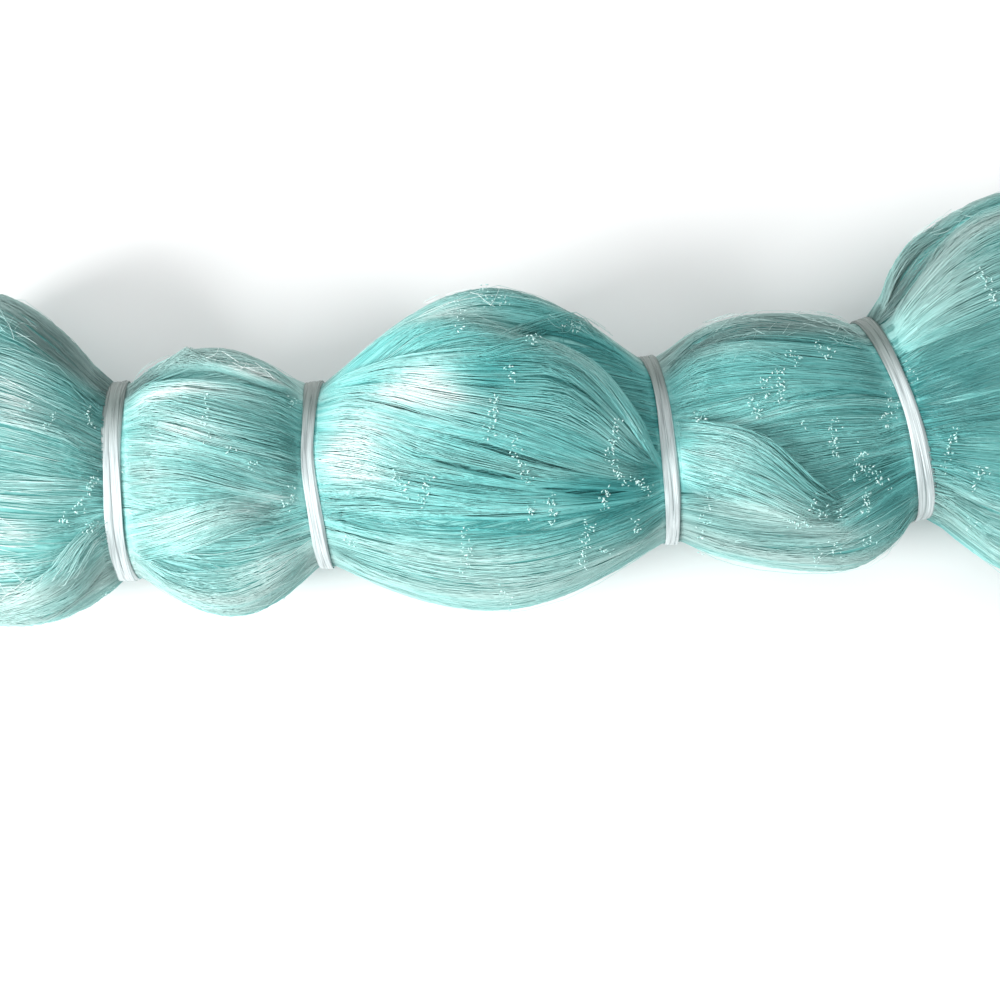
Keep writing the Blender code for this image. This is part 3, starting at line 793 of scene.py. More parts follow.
class Flow:
    """A smooth random field over a lobe or a lock."""

    def __init__(self, rng, waves):
        self.waves = [(*wave, rng.uniform(-0.9, 0.9), rng.uniform(0, math.tau)) for wave in waves]

    def at(self, along, across):
        """The field at arrays of places, from 0 to 1 along the strands and across them."""
        return sum(
            reach * np.sin(math.tau * (count * across + turns * along) + shift)
            for count, reach, turns, shift in self.waves
        )


class Relief:
    """The partings, hollows and crests of one lobe, which bend every strand that meets them and darken or
    lighten its colour in painted shade and highlight.
    """

    def __init__(self, name, surface):
        self.surface = surface
        self.paleness = LOBE_PALENESS.get(name, 0)
        self.partings = []
        for parting in PARTINGS:
            if parting.lobe == name:
                line = surface_curve(surface, parting.line, 24)
                self.partings.append((parting, line[np.argsort(line[:, 0])]))
        self.patches = [
            (patch, *place_of(surface, patch.pixel)) for patch in PATCHES if patch.lobe == name
        ]

    def pleats(self, t, angle):
        """From -1 in a groove between the net's pleats to 1 on a crest, fading out away from the ties."""
        turn = np.radians(angle)
        hold = self.surface.hold
        near = np.exp(-t * hold.pace / PLEAT_REACH)
        pleats = near * np.sin(PLEATS * turn + 2.2 * np.sin(5 * turn) + 1.6 * np.sin(13 * turn))
        if hold.finish:
            near = np.exp(-(1 - t) * hold.pace / PLEAT_REACH)
            pleats = pleats + near * np.sin(PLEATS * turn + 2.0 * np.sin(6 * turn) + 1.7 * np.sin(11 * turn))
        return pleats

    def shape(self, t, angle, height, tint):
        grey = np.full_like(height, self.paleness)
        pleats = self.pleats(t, angle)
        free = tie_fade(self.surface.hold, t)
        height = height + PLEAT_DEPTH * MM * pleats * free
        # Painted shade in the grooves between pleats and painted highlight on their crests
        tint = tint + PLEAT_SHADE_TINT * pleats
        degrees = math.degrees(1 / MIDDLE_RADIUS)
        for parting, line in self.partings:
            start, finish = line[0, 0], line[-1, 0]
            window = np.sin(math.pi * np.clip((t - start) / (finish - start), 0, 1)) ** 0.6
            off = apart(angle, np.interp(t, line[:, 0], line[:, 1]))
            width = parting.half_width * degrees
            near = np.exp(-(off / (1.6 * width)) ** 2) * window
            angle = angle + np.sign(off) * width * near
            height = height - parting.depth * MM * near * (1 - 0.4 * np.abs(off) / (np.abs(off) + width))
            # Painted shade along a parting
            tint = tint - 0.25 * near
        for patch, middle_t, middle_angle in self.patches:
            along = (t - middle_t) * self.surface.length / (patch.half_length * MM)
            around = apart(angle, middle_angle) / (patch.half_width * degrees)
            near = np.exp(-along ** 2 - around ** 2)
            height = height + patch.lift * MM * near
            # A patch's negative tint and its grey are painted shade, and a positive tint is painted highlight
            tint = tint + patch.tint * near
            grey = grey + patch.grey * near
        return angle, np.maximum(height, 0), tint, grey


class Strands:
    """The filaments of one piece, gathered batch by batch and made into one mesh of fine tubes."""

    def __init__(self):
        self.corners, self.quads, self.triangles, self.tints, self.edges = [], [], [], [], []
        self.count = 0

    def add(self, surface, relief, t, angle, height, tint, radius):
        """Adds a batch: arrays of strand and station for t, angle, height and tint, and a radius each."""
        angle, height, tint, grey = relief.shape(t, angle, height, tint)
        points = sample(surface.points, t, angle)
        normals = unit(sample(surface.normals, t, angle))
        points = points + normals * height[..., None]
        points[..., 2] = np.maximum(points[..., 2], radius[:, None] + 0.02 * MM)
        corners = tube_corners(points, normals, radius)
        quads, triangles = tube_faces(*t.shape)
        self.corners.append(corners.reshape(-1, 3))
        self.quads.append(quads + self.count)
        self.triangles.append(triangles + self.count)
        self.tints.append(np.repeat(tint.reshape(-1), FILAMENT_SIDES))
        # Painted shade: the colour weakens and greens where the surface faces to the front or back, and with a
        # lobe's paleness and the patches' grey
        side = smooth((np.abs(normals[..., 1]) - 0.45) / 0.5) * smooth((normals[..., 2] + 0.3) / 0.5)
        edge = np.clip(side + grey, 0, 1.4)
        self.edges.append(np.repeat(edge.reshape(-1), FILAMENT_SIDES))
        self.count += corners.size // 3

    def make(self, name, material):
        return mesh_object(
            name, np.concatenate(self.corners), np.concatenate(self.quads), np.concatenate(self.triangles),
            material, tint=np.concatenate(self.tints), edge=np.concatenate(self.edges),
        )


def wisp_angles(rng, count):
    """Angles round the bundle for the wisps' middles, most of them over the top and sides."""
    top = int(count * TOP_SHARE)
    above = -25 + 230 * (np.arange(top) + rng.uniform(0, 1, top)) / top
    below = 205 + 130 * (np.arange(count - top) + rng.uniform(0, 1, count - top)) / (count - top)
    return np.concatenate((above, below))


def wisp_batch(rng, surface, t, turned, strands):
    """The base wisps of a lobe. turned is 1 where a station lies above, and -1 once past the tip."""
    count = strands // STRANDS_PER_WISP
    wisp = np.repeat(np.arange(count), STRANDS_PER_WISP)

    def per_wisp(low, high):
        return rng.uniform(low, high, count)[wisp][:, None]

    middle = wisp_angles(rng, count)[wisp][:, None]
    half_width = np.degrees(per_wisp(*WISP_HALF_WIDTH) / MIDDLE_RADIUS)
    layer = per_wisp(*WISP_LAYER)
    thickness = per_wisp(*WISP_THICKNESS)
    across = rng.uniform(-1, 1, (strands, 1))
    depth = rng.uniform(0.2, 1, (strands, 1))
    drift = rng.normal(0, WISP_DRIFT, count)[wisp][:, None]
    wave = rng.normal(0, WISP_WAVE, count)[wisp][:, None]
    turns = per_wisp(0.6, 1.6)
    shift = per_wisp(0, math.tau)
    wander = rng.normal(0, STRAND_WANDER, (strands, 1))
    wander_turns = rng.uniform(0.8, 2.4, (strands, 1))
    wander_shift = rng.uniform(0, math.tau, (strands, 1))
    free = tie_fade(surface.hold, t)
    place = (middle + across * half_width) / 360
    angle = 360 * place + drift * (t - 0.5) + wave * np.sin(math.tau * turns * t + shift) * free
    angle = angle + wander * np.sin(math.tau * wander_turns * t + wander_shift) * free
    angle = angle + Flow(rng, LOBE_FLOW).at(t, place) * free
    crown = np.sqrt(1 - across ** 2) * depth
    height = (layer + thickness * crown) * MM * free
    # Painted shade: lower-lying wisps and strands, and those drawn in at a tie, are darker; the scatter and
    # streaks are the line's own tone
    tint = BASE_TINT - 0.09 + 0.10 * layer + 0.12 * crown + rng.normal(0, 0.05, count)[wisp][:, None]
    tint = tint + rng.normal(0, 0.03, (strands, 1)) - 0.08 * (1 - free)
    tint = tint + Flow(rng, LOBE_STREAKS).at(t, place)
    radius = np.full(strands, FILAMENT_RADIUS)
    return angle * turned, height, np.broadcast_to(tint, height.shape), radius


def flyaway_batch(rng, surface, t, turned, strands):
    """Single hairs that have sprung clear of the bundle."""
    middle = rng.uniform(-20, 200, (strands, 1))
    drift = rng.normal(0, 9, (strands, 1))
    wave = rng.normal(0, 4, (strands, 1))
    turns = rng.uniform(0.5, 1.5, (strands, 1))
    shift = rng.uniform(0, math.tau, (strands, 1))
    free = tie_fade(surface.hold, t)
    angle = middle + drift * (t - 0.5) + wave * np.sin(math.tau * turns * t + shift) * free
    rise = rng.uniform(*FLYAWAY_RISE, (strands, 1))
    height = rise * MM * free * (0.6 + 0.4 * np.sin(math.tau * turns * t + 2 * shift))
    tint = np.broadcast_to(rng.uniform(0.5, 0.85, (strands, 1)), height.shape)
    return angle * turned, height, tint, np.full(strands, FLYAWAY_RADIUS)


def lock_height(rises, across):
    """A lock's height over the base, from its upper edge at 0 to its lower edge at 1."""
    upper, middle, lower = rises
    return (
        upper * (1 - across) * (1 - 2 * across) + middle * 4 * across * (1 - across)
        + lower * across * (2 * across - 1)
    )


def lock_guides(surfaces, lock):
    """A lock's guide lines as places on its lobe, run on to the tie where the lock starts or ends."""
    s = np.linspace(0, 1, GUIDE_PLACES)
    guides = []
    for pixels in lock.lines:
        guide = surface_curve(surfaces[lock.lobe], pixels, GUIDE_PLACES)
        if lock.ends in ("ties", "start"):
            guide[:, 0] -= guide[0, 0] * (1 - s)
        if lock.ends in ("ties", "finish"):
            guide[:, 0] += (1 - guide[-1, 0]) * s
        guides.append(guide)
    return np.array(guides)


def between(guides, across, s):
    """Places between guide lines: across is 0 on the first line and 1 on the last, and s runs along."""
    row = np.clip(across, 0, 1) * (len(guides) - 1)
    column = np.clip(s, 0, 1) * (GUIDE_PLACES - 1)
    r = np.minimum(row.astype(int), len(guides) - 2)
    c = np.minimum(column.astype(int), GUIDE_PLACES - 2)
    fr = (row - r)[..., None]
    fc = (column - c)[..., None]
    near = guides[r, c] * (1 - fc) + guides[r, c + 1] * fc
    far = guides[r + 1, c] * (1 - fc) + guides[r + 1, c + 1] * fc
    return near * (1 - fr) + far * fr


def lock_stations(rng, lock, guides, hold):
    """Where each strand's stations lie along its lock, from the tie's edge or from a scattered start."""
    count = lock.strands
    middle = guides[len(guides) // 2]
    s = np.linspace(0, 1, GUIDE_PLACES)
    first = lock.lines[0]
    inner = max(6, round(sum(math.dist(a, b) for a, b in zip(first, first[1:])) / LOCK_STEP))
    low = rng.uniform(0, LOCK_STAGGER, (count, 1))
    high = 1 - rng.uniform(0, LOCK_STAGGER, (count, 1))
    if lock.ends in ("ties", "start"):
        low = np.full((count, 1), np.interp(hold.start / hold.pace, middle[:, 0], s))
    if lock.ends in ("ties", "finish"):
        high = np.full((count, 1), np.interp(1 - hold.finish / hold.pace, middle[:, 0], s))
    along = low + (high - low) * np.linspace(0, 1, inner)[None, :]
    step = (high - low) / (inner - 1)
    along[:, 1:-1] += rng.uniform(-0.4, 0.4, (count, inner - 2)) * step
    if lock.ends in ("ties", "start"):
        along = np.concatenate((low * TUCKED_START, along), 1)
    if lock.ends in ("ties", "finish"):
        along = np.concatenate((along, 1 - (1 - high) * TUCKED_START), 1)
    return along


def lock_batch(rng, lock, surface, guides):
    """The strands of a lock, spread between its edges, with some down the wall of its raised edge."""
    count = lock.strands
    groups = max(count // 9, 1)
    across = (np.arange(count) + rng.uniform(0, 1, count)) / count
    group = np.clip(across * groups + rng.normal(0, 0.6, count), 0, groups - 1).astype(int)
    across = across[:, None]
    s = lock_stations(rng, lock, guides, surface.hold)
    waves = rng.normal(0, 0.004 + 0.012 * lock.looseness, (groups, 1))[group]
    turns = rng.uniform(0.6, 1.6, (groups, 1))[group]
    shift = rng.uniform(0, math.tau, (groups, 1))[group]
    own = rng.normal(0, 0.004, (count, 1)) * np.sin(math.tau * rng.uniform(1, 3, (count, 1)) * s + shift)
    bend = waves * np.sin(math.tau * turns * s + shift) + own + Flow(rng, LOCK_FLOW).at(s, across)
    moved = np.clip(across + bend * np.sin(math.pi * s), 0, 1)
    places = between(guides, moved, s)
    t, angle = places[..., 0], places[..., 1]
    crown = rng.uniform(0.74, 1.0, (count, 1))
    edge = np.exp(-across / 0.06) * rng.uniform(0, 1, (count, 1))
    height = BASE_TOP * 0.6 + lock_height(lock.rises, moved) * crown * (1 - 0.85 * edge)
    if lock.ends in ("finish", "loose"):
        height = height * smooth((s - s[:, :1]) / 0.22)
    if lock.ends in ("start", "loose"):
        height = height * smooth((s[:, -1:] - s) / 0.22)
    free = tie_fade(surface.hold, t)
    height = height * free * MM
    # Painted shade: lower strands, those down the wall of the raised edge and those drawn in at a tie are
    # darker; the scatter and streaks are the line's own tone
    tint = lock.tint + 0.12 * (crown - 0.87) + rng.normal(0, 0.035, (groups, 1))[group]
    tint = tint + rng.normal(0, 0.03, (count, 1)) - 0.12 * edge - 0.08 * (1 - free)
    tint = tint + Flow(rng, LOCK_STREAKS).at(s, across)
    if lock.ends == "start":
        tint = BASE_TINT + (tint - BASE_TINT) * smooth((s[:, -1:] - s) / 0.3)
    return t, angle, height, np.broadcast_to(tint, t.shape), np.full(count, FILAMENT_RADIUS)


def lock_strands(rng, surfaces, reliefs, edges, material):
    strands = Strands()
    for lock, guides in zip(LOCKS, edges):
        surface = surfaces[lock.lobe]
        t, angle, height, tint, radius = lock_batch(rng, lock, surface, guides)
        strands.add(surface, reliefs[lock.lobe], t, angle, height, tint, radius)
    return strands.make("broad_locks", material)


def tuft_strands(rng, surfaces, reliefs, material):
    """Stray hairs: each is an arc that lies across its lobe."""
    strands = Strands()
    for tuft in TUFTS:
        surface = surfaces[tuft.lobe]
        count = tuft.hairs
        spots = np.array(tuft.middle) + rng.uniform(-1, 1, (count, 2)) * tuft.half_size
        places = np.array([place_of(surface, spot) for spot in spots])
        bend = rng.normal(0, TUFT_BEND, (count, 1)) * np.linspace(-0.5, 0.5, TUFT_STATIONS)
        turn = rng.normal(0, TUFT_LEAN, (count, 1)) + bend
        steps = rng.uniform(*TUFT_LENGTH, (count, 1)) * MM / TUFT_STATIONS
        along = np.cumsum(np.cos(turn) * steps, 1)
        across = np.cumsum(np.sin(turn) * steps, 1)
        t = places[:, :1] + (along - along.mean(1, keepdims=True)) / surface.length
        t = np.clip(t, 0, 1)
        angle = places[:, 1:] + np.degrees(across - across.mean(1, keepdims=True)) / (MIDDLE_RADIUS * MM)
        free = tie_fade(surface.hold, t)
        height = rng.uniform(*TUFT_RISE, (count, 1)) * MM * free
        tint = np.broadcast_to(rng.uniform(0.7, 1.0, (count, 1)), t.shape)
        strands.add(surface, reliefs[tuft.lobe], t, angle, height, tint, np.full(count, FLYAWAY_RADIUS))
    return strands.make("stray_hairs", material)


def lift_at(name, edges, t, angle):
    """How high the strands lie at a place on a lobe, over its sunk surface, in mm."""
    lift = BASE_TOP
    for lock, guides in zip(LOCKS, edges):
        upper, lower = guides[0], guides[-1]
        if lock.lobe != name or not upper[:, 0].min() <= t <= upper[:, 0].max():
            continue
        order = np.argsort(upper[:, 0])
        low_order = np.argsort(lower[:, 0])
        first = np.interp(t, upper[order, 0], upper[order, 1])
        last = np.interp(t, lower[low_order, 0], lower[low_order, 1])
        across = (angle - first) / (last - first) if last != first else -1
        if 0 <= across <= 1:
            lift = max(lift, BASE_TOP * 0.6 + lock_height(lock.rises, across) + 0.2)
    return lift


# The knots

def knot_shape():
    """One knot: a bead with an end of line that stands out of it, as corners and triangles."""
    bpy.ops.object.select_all(action="DESELECT")
    bpy.ops.mesh.primitive_ico_sphere_add(subdivisions=1, radius=KNOT_RADIUS)
    bead = bpy.context.object
    corners = np.array([v.co for v in bead.data.vertices]) * KNOT_SHAPE
    triangles = np.array([p.vertices for p in bead.data.polygons])
    bpy.data.objects.remove(bead)
    points = np.linspace(-0.5, 0.5, 3)[None, :, None] * KNOT_TAIL
    tube = tube_corners(points, np.broadcast_to((0.0, 0.0, 1.0), points.shape), np.array([KNOT_LINE]))
    quads, ends = tube_faces(1, 3)
    tail = np.concatenate((quads[:, [0, 1, 2]], quads[:, [0, 2, 3]], ends)) + len(corners)
    return np.concatenate((corners, tube.reshape(-1, 3))), np.concatenate((triangles, tail))


def knot_places(rng, surfaces, edges):
    """Where the knots lie: the lobe, t and angle of each, in the chains and in the rows beyond them."""
    spots = []
    for chain in CHAINS:
        count = round(chain.knots * KNOTS_DRAWN)
        for k in range(count):
            share = (k + 0.5) / count
            pixel = [a + (b - a) * share + rng.normal(0, KNOT_SCATTER) for a, b in zip(chain.first, chain.last)]
            spots.append((chain.lobe, *place_of(surfaces[chain.lobe], pixel)))
    for name, surface in surfaces.items():
        rows = int(surface.length / (MESH_BAR * MM))
        hidden = (190, 350) if name.startswith("lobe") else (-10, 350)
        for row in range(rows):
            for _ in range(CHAINS_PER_ROW):
                t = (row + 0.5) / rows + rng.normal(0, 0.03)
                angle = rng.uniform(*hidden)
                if name.endswith("end") and 0 < angle < 180 and t < 0.5:
                    continue
                lean = rng.normal(0, 0.004)
                for k in range(rng.integers(*CHAIN_LENGTHS)):
                    spots.append((name, t + lean * k + rng.normal(0, 0.004), angle + 1.1 * k))
    return spots


def build_knots(rng, surfaces, edges, material):
    corners, triangles = knot_shape()
    all_corners = []
    for name, t, angle in knot_places(rng, surfaces, edges):
        surface = surfaces[name]
        here = (np.array([t]), np.array([angle]))
        free = tie_fade(surface.hold, here[0])[0]
        normal = unit(sample(surface.normals, *here))[0]
        point = sample(surface.points, *here)[0]
        point = point + normal * (lift_at(name, edges, t, angle) + KNOT_LIFT) * MM * free
        turn = rng.uniform(0, math.tau)
        way = unit(np.cross(normal, (math.sin(turn), math.cos(turn), 0.3)))
        across = np.cross(normal, way)
        size = rng.uniform(*KNOT_SIZES) * MM
        placed = point + size * (corners[:, :1] * way + corners[:, 1:2] * across + corners[:, 2:] * normal)
        placed[:, 2] = np.maximum(placed[:, 2], 0.03 * MM)
        all_corners.append(placed)
    count = len(all_corners)
    numbers = triangles[None] + np.arange(count)[:, None, None] * len(corners)
    return mesh_object(
        "net_knots", np.concatenate(all_corners), np.zeros((0, 4), int), numbers.reshape(-1, 3), material,
    )


# The film ties

def neck_grid(tree, name, angle):
    """Where the net's surface lies across a tie, as rings of points, one for each of NECK_OFFSETS."""
    middle, side = tie_place(name)
    along = Vector((side.y, -side.x, 0.0))
    rings = []
    for offset in NECK_OFFSETS:
        origin = middle + along * offset * MM
        ring = []
        for turn in np.radians(angle):
            direction = side * math.cos(turn) + UP * math.sin(turn)
            ring.append(tree.ray_cast(origin, direction)[0])
        rings.append(ring)
    return np.array(rings), np.array(along)


def tie_surface(rings, along, offsets):
    """Points of the net's surface under a tie, at an array of station and offset in mm, and their way out."""
    low, step = NECK_OFFSETS[0], NECK_OFFSETS[1] - NECK_OFFSETS[0]
    place = np.clip((offsets - low) / step, 0, len(NECK_OFFSETS) - 1.001)
    k = place.astype(int)
    share = (place - k)[..., None]
    station = np.arange(rings.shape[1])[:, None]
    points = rings[k, station] * (1 - share) + rings[k + 1, station] * share
    middle_ring = rings[len(NECK_OFFSETS) // 2]
    ahead = np.roll(middle_ring, -1, 0) - np.roll(middle_ring, 1, 0)
    outward = unit(np.cross(along, ahead))
    outward *= np.sign(((middle_ring - middle_ring.mean(0)) * outward).sum(-1, keepdims=True))
    return points, outward[:, None]


def build_tie(rng, tree, name, material):
    """A band of gathered film: a wide strip with the narrower folds that lie on it."""
    angle = 360 * np.arange(TIE_STATIONS) / TIE_STATIONS
    rings, along = neck_grid(tree, name, angle)
    width = eased(TIE_WIDTHS[name], angle)[:, None]
    drawn = eased(TIE_SHIFTS[name], angle)[:, None]
    turns = np.radians(angle)[:, None]
    shifts = rng.uniform(0, math.tau, 2)
    sway = 0.35 * np.sin(2 * turns + shifts[0]) + 0.2 * np.sin(5 * turns + shifts[1])
    u = np.linspace(-1, 1, FOLD_SECTION)[None, :]
    around = 2 * FOLD_SECTION
    first = np.arange(TIE_STATIONS)[:, None] * around
    second = np.roll(first, -1, 0)
    here = np.arange(around)[None, :]
    after = (here + 1) % around
    faces = np.stack((first + here, second + here, second + after, first + after), -1).reshape(-1, 4)
    corners, quads, uvs, back_shades = [], [], [], []
    for number, fold in enumerate(FOLDS):
        shift, ripple = rng.uniform(0, math.tau, 2)
        middle = width * (fold.side + fold.wander * np.sin(fold.turns * turns + shift)) + sway
        half = width * fold.width / 2 * (1 + 0.12 * np.sin(3 * turns + shift))
        crease = FOLD_CREASE * np.sin(2.4 * math.pi * u + 1.3 * np.sin(2 * turns + ripple) + ripple)
        outer = fold.lift + FILM_THICKNESS * (1 - 0.45 * u ** 4) + crease
        inner = np.full_like(outer, fold.lift - FILM_TUCK)
        across = middle + half * np.concatenate((u, u[:, ::-1]), 1)
        points, outward = tie_surface(rings, along, across + drawn)
        heights = np.concatenate((outer, inner), 1) + TIE_LIFT
        corners.append((points + outward * heights[..., None] * MM).reshape(-1, 3))
        quads.append(faces + number * TIE_STATIONS * around)
        lengthwise = np.broadcast_to(angle[:, None] / 36, across.shape)
        uvs.append(np.stack((lengthwise, across / 10 + fold.lift), -1).reshape(-1, 2))
        # Painted shade: the film darkens round the back of the tie
        back = smooth((np.cos(turns - math.radians(12)) - FILM_SHADE_SPREAD[0]) / (FILM_SHADE_SPREAD[1] - FILM_SHADE_SPREAD[0]))
        back_shades.append(np.broadcast_to(back, across.shape).reshape(-1))
    film = mesh_object(
        f"film_{name}", np.concatenate(corners), np.concatenate(quads), np.zeros((0, 3), int), material,
        thin=np.concatenate(back_shades),
    )
    layer = film.data.uv_layers.new(name="strip")
    numbers = np.zeros(len(film.data.loops), np.int32)
    film.data.loops.foreach_get("vertex_index", numbers)
    layer.data.foreach_set("uv", np.concatenate(uvs)[numbers].astype(np.float32).ravel())
    bpy.ops.object.select_all(action="DESELECT")
    film.select_set(True)
    bpy.context.view_layer.objects.active = film
    bpy.ops.object.mode_set(mode="EDIT")
    bpy.ops.mesh.select_all(action="SELECT")
    bpy.ops.mesh.normals_make_consistent(inside=False)
    bpy.ops.object.mode_set(mode="OBJECT")
    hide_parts(name)
    return film


def spaced(rng, strands, hold, stations):
    """Stations along each strand: one under the film, one at its edge, and the rest a little scattered."""
    far = 1 - hold.finish / hold.pace if hold.finish else 1
    inner = np.linspace(hold.start / hold.pace, far, stations - 2 if hold.finish else stations - 1)
    scatter = rng.uniform(-0.45, 0.45, (strands, len(inner))) * (inner[1] - inner[0])
    scatter[:, [0, -1]] = 0
    inner = inner[None, :] + scatter
    tucked = inner[:, :1] * TUCKED_START
    if not hold.finish:
        return np.concatenate((tucked, inner), 1)
    return np.concatenate((tucked, inner, 1 - (1 - inner[:, -1:]) * TUCKED_START), 1)


def lobe_strands(rng, lobe, surface, relief, material):
    strands = Strands()
    for batch, count in ((wisp_batch, lobe.wisps * STRANDS_PER_WISP), (flyaway_batch, FLYAWAYS)):
        t = spaced(rng, count, surface.hold, lobe.stations)
        angle, height, tint, radius = batch(rng, surface, t, np.ones_like(t), count)
        strands.add(surface, relief, t, angle, height, tint, radius)
    return strands.make(f"{lobe.name}_filaments", material)


def end_strands(rng, end, surface, relief, material):
    """The strands of an end lobe, which run out over the top, turn back at the tip and return below."""
    strands = Strands()
    for batch, count in ((wisp_batch, end.wisps * STRANDS_PER_WISP), (flyaway_batch, FLYAWAYS)):
        over = spaced(rng, count, surface.hold, end.stations)
        under = np.array(UNDER_STATIONS) + rng.uniform(-1, 1, (count, len(UNDER_STATIONS))) * UNDER_SCATTER
        under[:, -1] = over[:, 0]
        t = np.concatenate((over, under), 1)
        turned = np.concatenate((np.ones_like(over), -np.ones_like(under)), 1)
        angle, height, tint, radius = batch(rng, surface, t, turned, count)
        strands.add(surface, relief, t, angle, height, tint, radius)
    return strands.make(f"{end.name}_filaments", material)


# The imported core, a smoothed copy of the hank solid

def sink_core(mesh):
    """Draws the core in by the depth of the strands that cover it, and only a little under a tie."""
    corners = np.zeros(len(mesh.vertices) * 3, np.float32)
    mesh.vertices.foreach_get("co", corners)
    corners = corners.reshape(-1, 3)
    normals = np.array([v.normal for v in mesh.vertices])
    clear = np.full(len(corners), np.inf)
    for k in range(1, 5):
        middle, side = tie_place(f"tie_band_{k}")
        along = np.array((side.y, -side.x, 0.0))
        apart_from = corners - np.array(middle)
        turn = np.degrees(np.arctan2(apart_from[:, 2], apart_from @ np.array(side)))
        drawn = eased(TIE_SHIFTS[f"tie_band_{k}"], turn) * MM
        clear = np.minimum(clear, np.abs(apart_from @ along - drawn))
    full = np.full(len(corners), CORE_DEPTH)
    stops = [-math.inf] + [tie_place(f"tie_band_{k}")[0].x for k in range(1, 5)] + [math.inf]
    for name, low, high in zip(("left_end", "lobe_1", "lobe_2", "lobe_3", "right_end"), stops, stops[1:]):
        inside = (corners[:, 0] >= low) & (corners[:, 0] < high)
        full += inside * BACK_SLACK.get(name, 0) * np.maximum(normals[:, 1], 0) ** 2
        if name.endswith("end"):
            full += inside * CORE_UNDER_DEPTH * smooth((0.4 - normals[:, 2]) / 0.8)
    depth = NECK_DEPTH + (full - NECK_DEPTH) * smooth((clear - 1.5 * MM) / TIE_SLOPE)
    moved = corners - normals * depth[:, None] * MM
    moved[:, 2] = np.where(corners[:, 2] < 0.5 * MM, corners[:, 2], moved[:, 2])
    mesh.vertices.foreach_set("co", moved.astype(np.float32).ravel())
    mesh.update()


def keep_under(mesh, surfaces):
    """Draws the core in further wherever it would stand out between the base wisps, as on a sharp ridge."""
    points = np.concatenate([surface.points.reshape(-1, 3) for surface in surfaces.values()])
    normals = np.concatenate([surface.normals.reshape(-1, 3) for surface in surfaces.values()])
    number = np.arange(len(points)).reshape(-1, GRID_ROWS, GRID_COLUMNS)
    beside = np.roll(number, -1, 2)
    faces = np.stack((number[:, :-1], beside[:, :-1], beside[:, 1:], number[:, 1:]), -1).reshape(-1, 4)
    tree = BVHTree.FromPolygons(points.tolist(), faces.tolist())
    for vertex in mesh.vertices:
        if vertex.co.z < 0.5 * MM:
            continue
        place, _, index, _ = tree.find_nearest(vertex.co)
        outward = Vector(normals[faces[index, 0]])
        rise = (vertex.co - place).dot(outward) + CORE_CLEARANCE * MM
        if rise > 0:
            vertex.co -= outward * rise
    mesh.update()


def build_core(surfaces, material):
    bpy.ops.object.select_all(action="DESELECT")
    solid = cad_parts["net_hank"]
    core = bpy.data.objects.new("hank_core", solid.data.copy())
    bpy.context.scene.collection.objects.link(core)
    core.select_set(True)
    bpy.context.view_layer.objects.active = core
    bpy.ops.object.mode_set(mode="EDIT")
    bpy.ops.mesh.select_all(action="SELECT")
    bpy.ops.mesh.remove_doubles(threshold=0.01 * MM)
    bpy.ops.mesh.tris_convert_to_quads()
    bpy.ops.mesh.normals_make_consistent(inside=False)
    bpy.ops.object.mode_set(mode="OBJECT")
    rounded = core.modifiers.new("rounded", "SUBSURF")
    rounded.levels = 1
    rounded.render_levels = 1
    bpy.ops.object.modifier_apply(modifier="rounded")
    sink_core(core.data)
    keep_under(core.data, surfaces)
    core.data.shade_smooth()
    core.data.materials.clear()
    core.data.materials.append(material)
    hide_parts("net_hank")
    return core


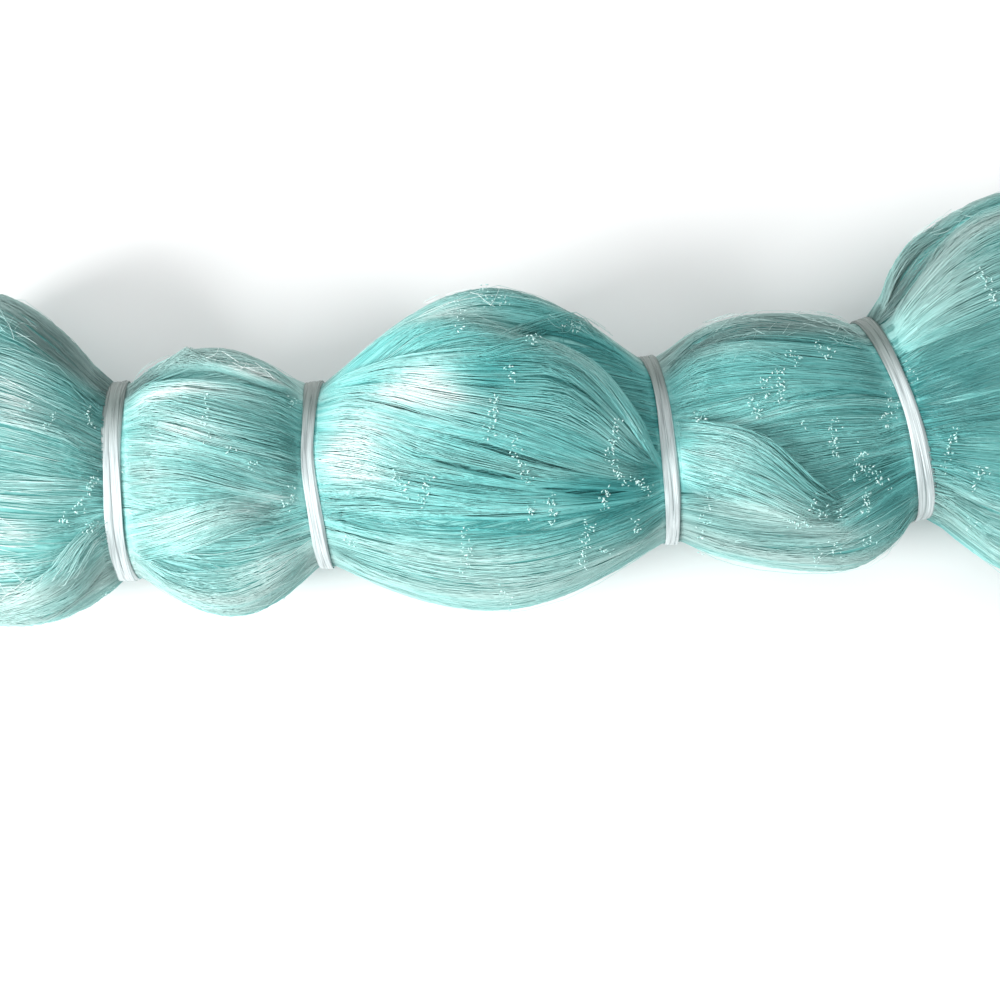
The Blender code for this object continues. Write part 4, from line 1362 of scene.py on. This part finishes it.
def set_stage():
    """A pale paper floor and a soft key light from the front left, with weaker lights above and behind."""
    bpy.ops.object.select_all(action="DESELECT")
    bpy.ops.mesh.primitive_plane_add(size=8, location=(0, 0, 0))
    floor = bpy.context.object
    floor.name = "studio_floor"
    floor.data.materials.append(floor_material())
    for name, place, size, power in (
        ("key", (-1.25, -0.80, 1.05), 0.9, 44.0),
        ("top", (0.1, -0.3, 1.9), 1.6, 8.0),
        ("back", (-0.4, 1.3, 1.2), 1.2, 9.0),
    ):
        lamp = bpy.data.lights.new(name, "AREA")
        lamp.size = size
        lamp.energy = power
        obj = bpy.data.objects.new(name, lamp)
        obj.location = place
        obj.rotation_euler = (Vector(place) - Vector((-0.05, 0, 0.05))).to_track_quat("Z", "Y").to_euler()
        bpy.context.scene.collection.objects.link(obj)
    world = bpy.data.worlds.new("studio")
    world.use_nodes = True
    world.node_tree.nodes["Background"].inputs["Color"].default_value = hex_colour("FFFFFF")
    world.node_tree.nodes["Background"].inputs["Strength"].default_value = 0.52
    bpy.context.scene.world = world
    bpy.context.scene.view_settings.view_transform = "Standard"


def set_camera():
    back, _, _ = camera_axes()
    camera = bpy.data.cameras.new("camera")
    camera.sensor_width = SENSOR_MM
    camera.lens = SENSOR_MM * CAMERA_DISTANCE / (PIXELS * MM_PER_PIXEL * MM)
    obj = bpy.data.objects.new("camera", camera)
    obj.location = PHOTO_MIDDLE + back * CAMERA_DISTANCE
    obj.rotation_euler = back.to_track_quat("Z", "Y").to_euler()
    bpy.context.scene.collection.objects.link(obj)
    bpy.context.scene.camera = obj


def dress(piece):
    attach(piece, "root")


def build():
    rng = np.random.default_rng(7)
    tree = hank_tree()
    surfaces = {
        lobe.name: read_surface(tree, *lobe_rays(lobe), BACK_SLACK.get(lobe.name, 0)) for lobe in LOBES
    }
    surfaces.update({
        end.name: read_surface(tree, *end_rays(end), BACK_SLACK.get(end.name, 0)) for end in ENDS
    })
    reliefs = {name: Relief(name, surface) for name, surface in surfaces.items()}
    nylon = filament_material()
    dress(build_core(surfaces, core_material()))
    for lobe in LOBES:
        dress(lobe_strands(rng, lobe, surfaces[lobe.name], reliefs[lobe.name], nylon))
    for end in ENDS:
        dress(end_strands(rng, end, surfaces[end.name], reliefs[end.name], nylon))
    edges = [lock_guides(surfaces, lock) for lock in LOCKS]
    dress(lock_strands(rng, surfaces, reliefs, edges, nylon))
    dress(tuft_strands(rng, surfaces, reliefs, nylon))
    dress(build_knots(rng, surfaces, edges, knot_material()))
    film = film_material()
    for name in TIE_WIDTHS:
        dress(build_tie(rng, tree, name, film))


build()
set_stage()
set_camera()
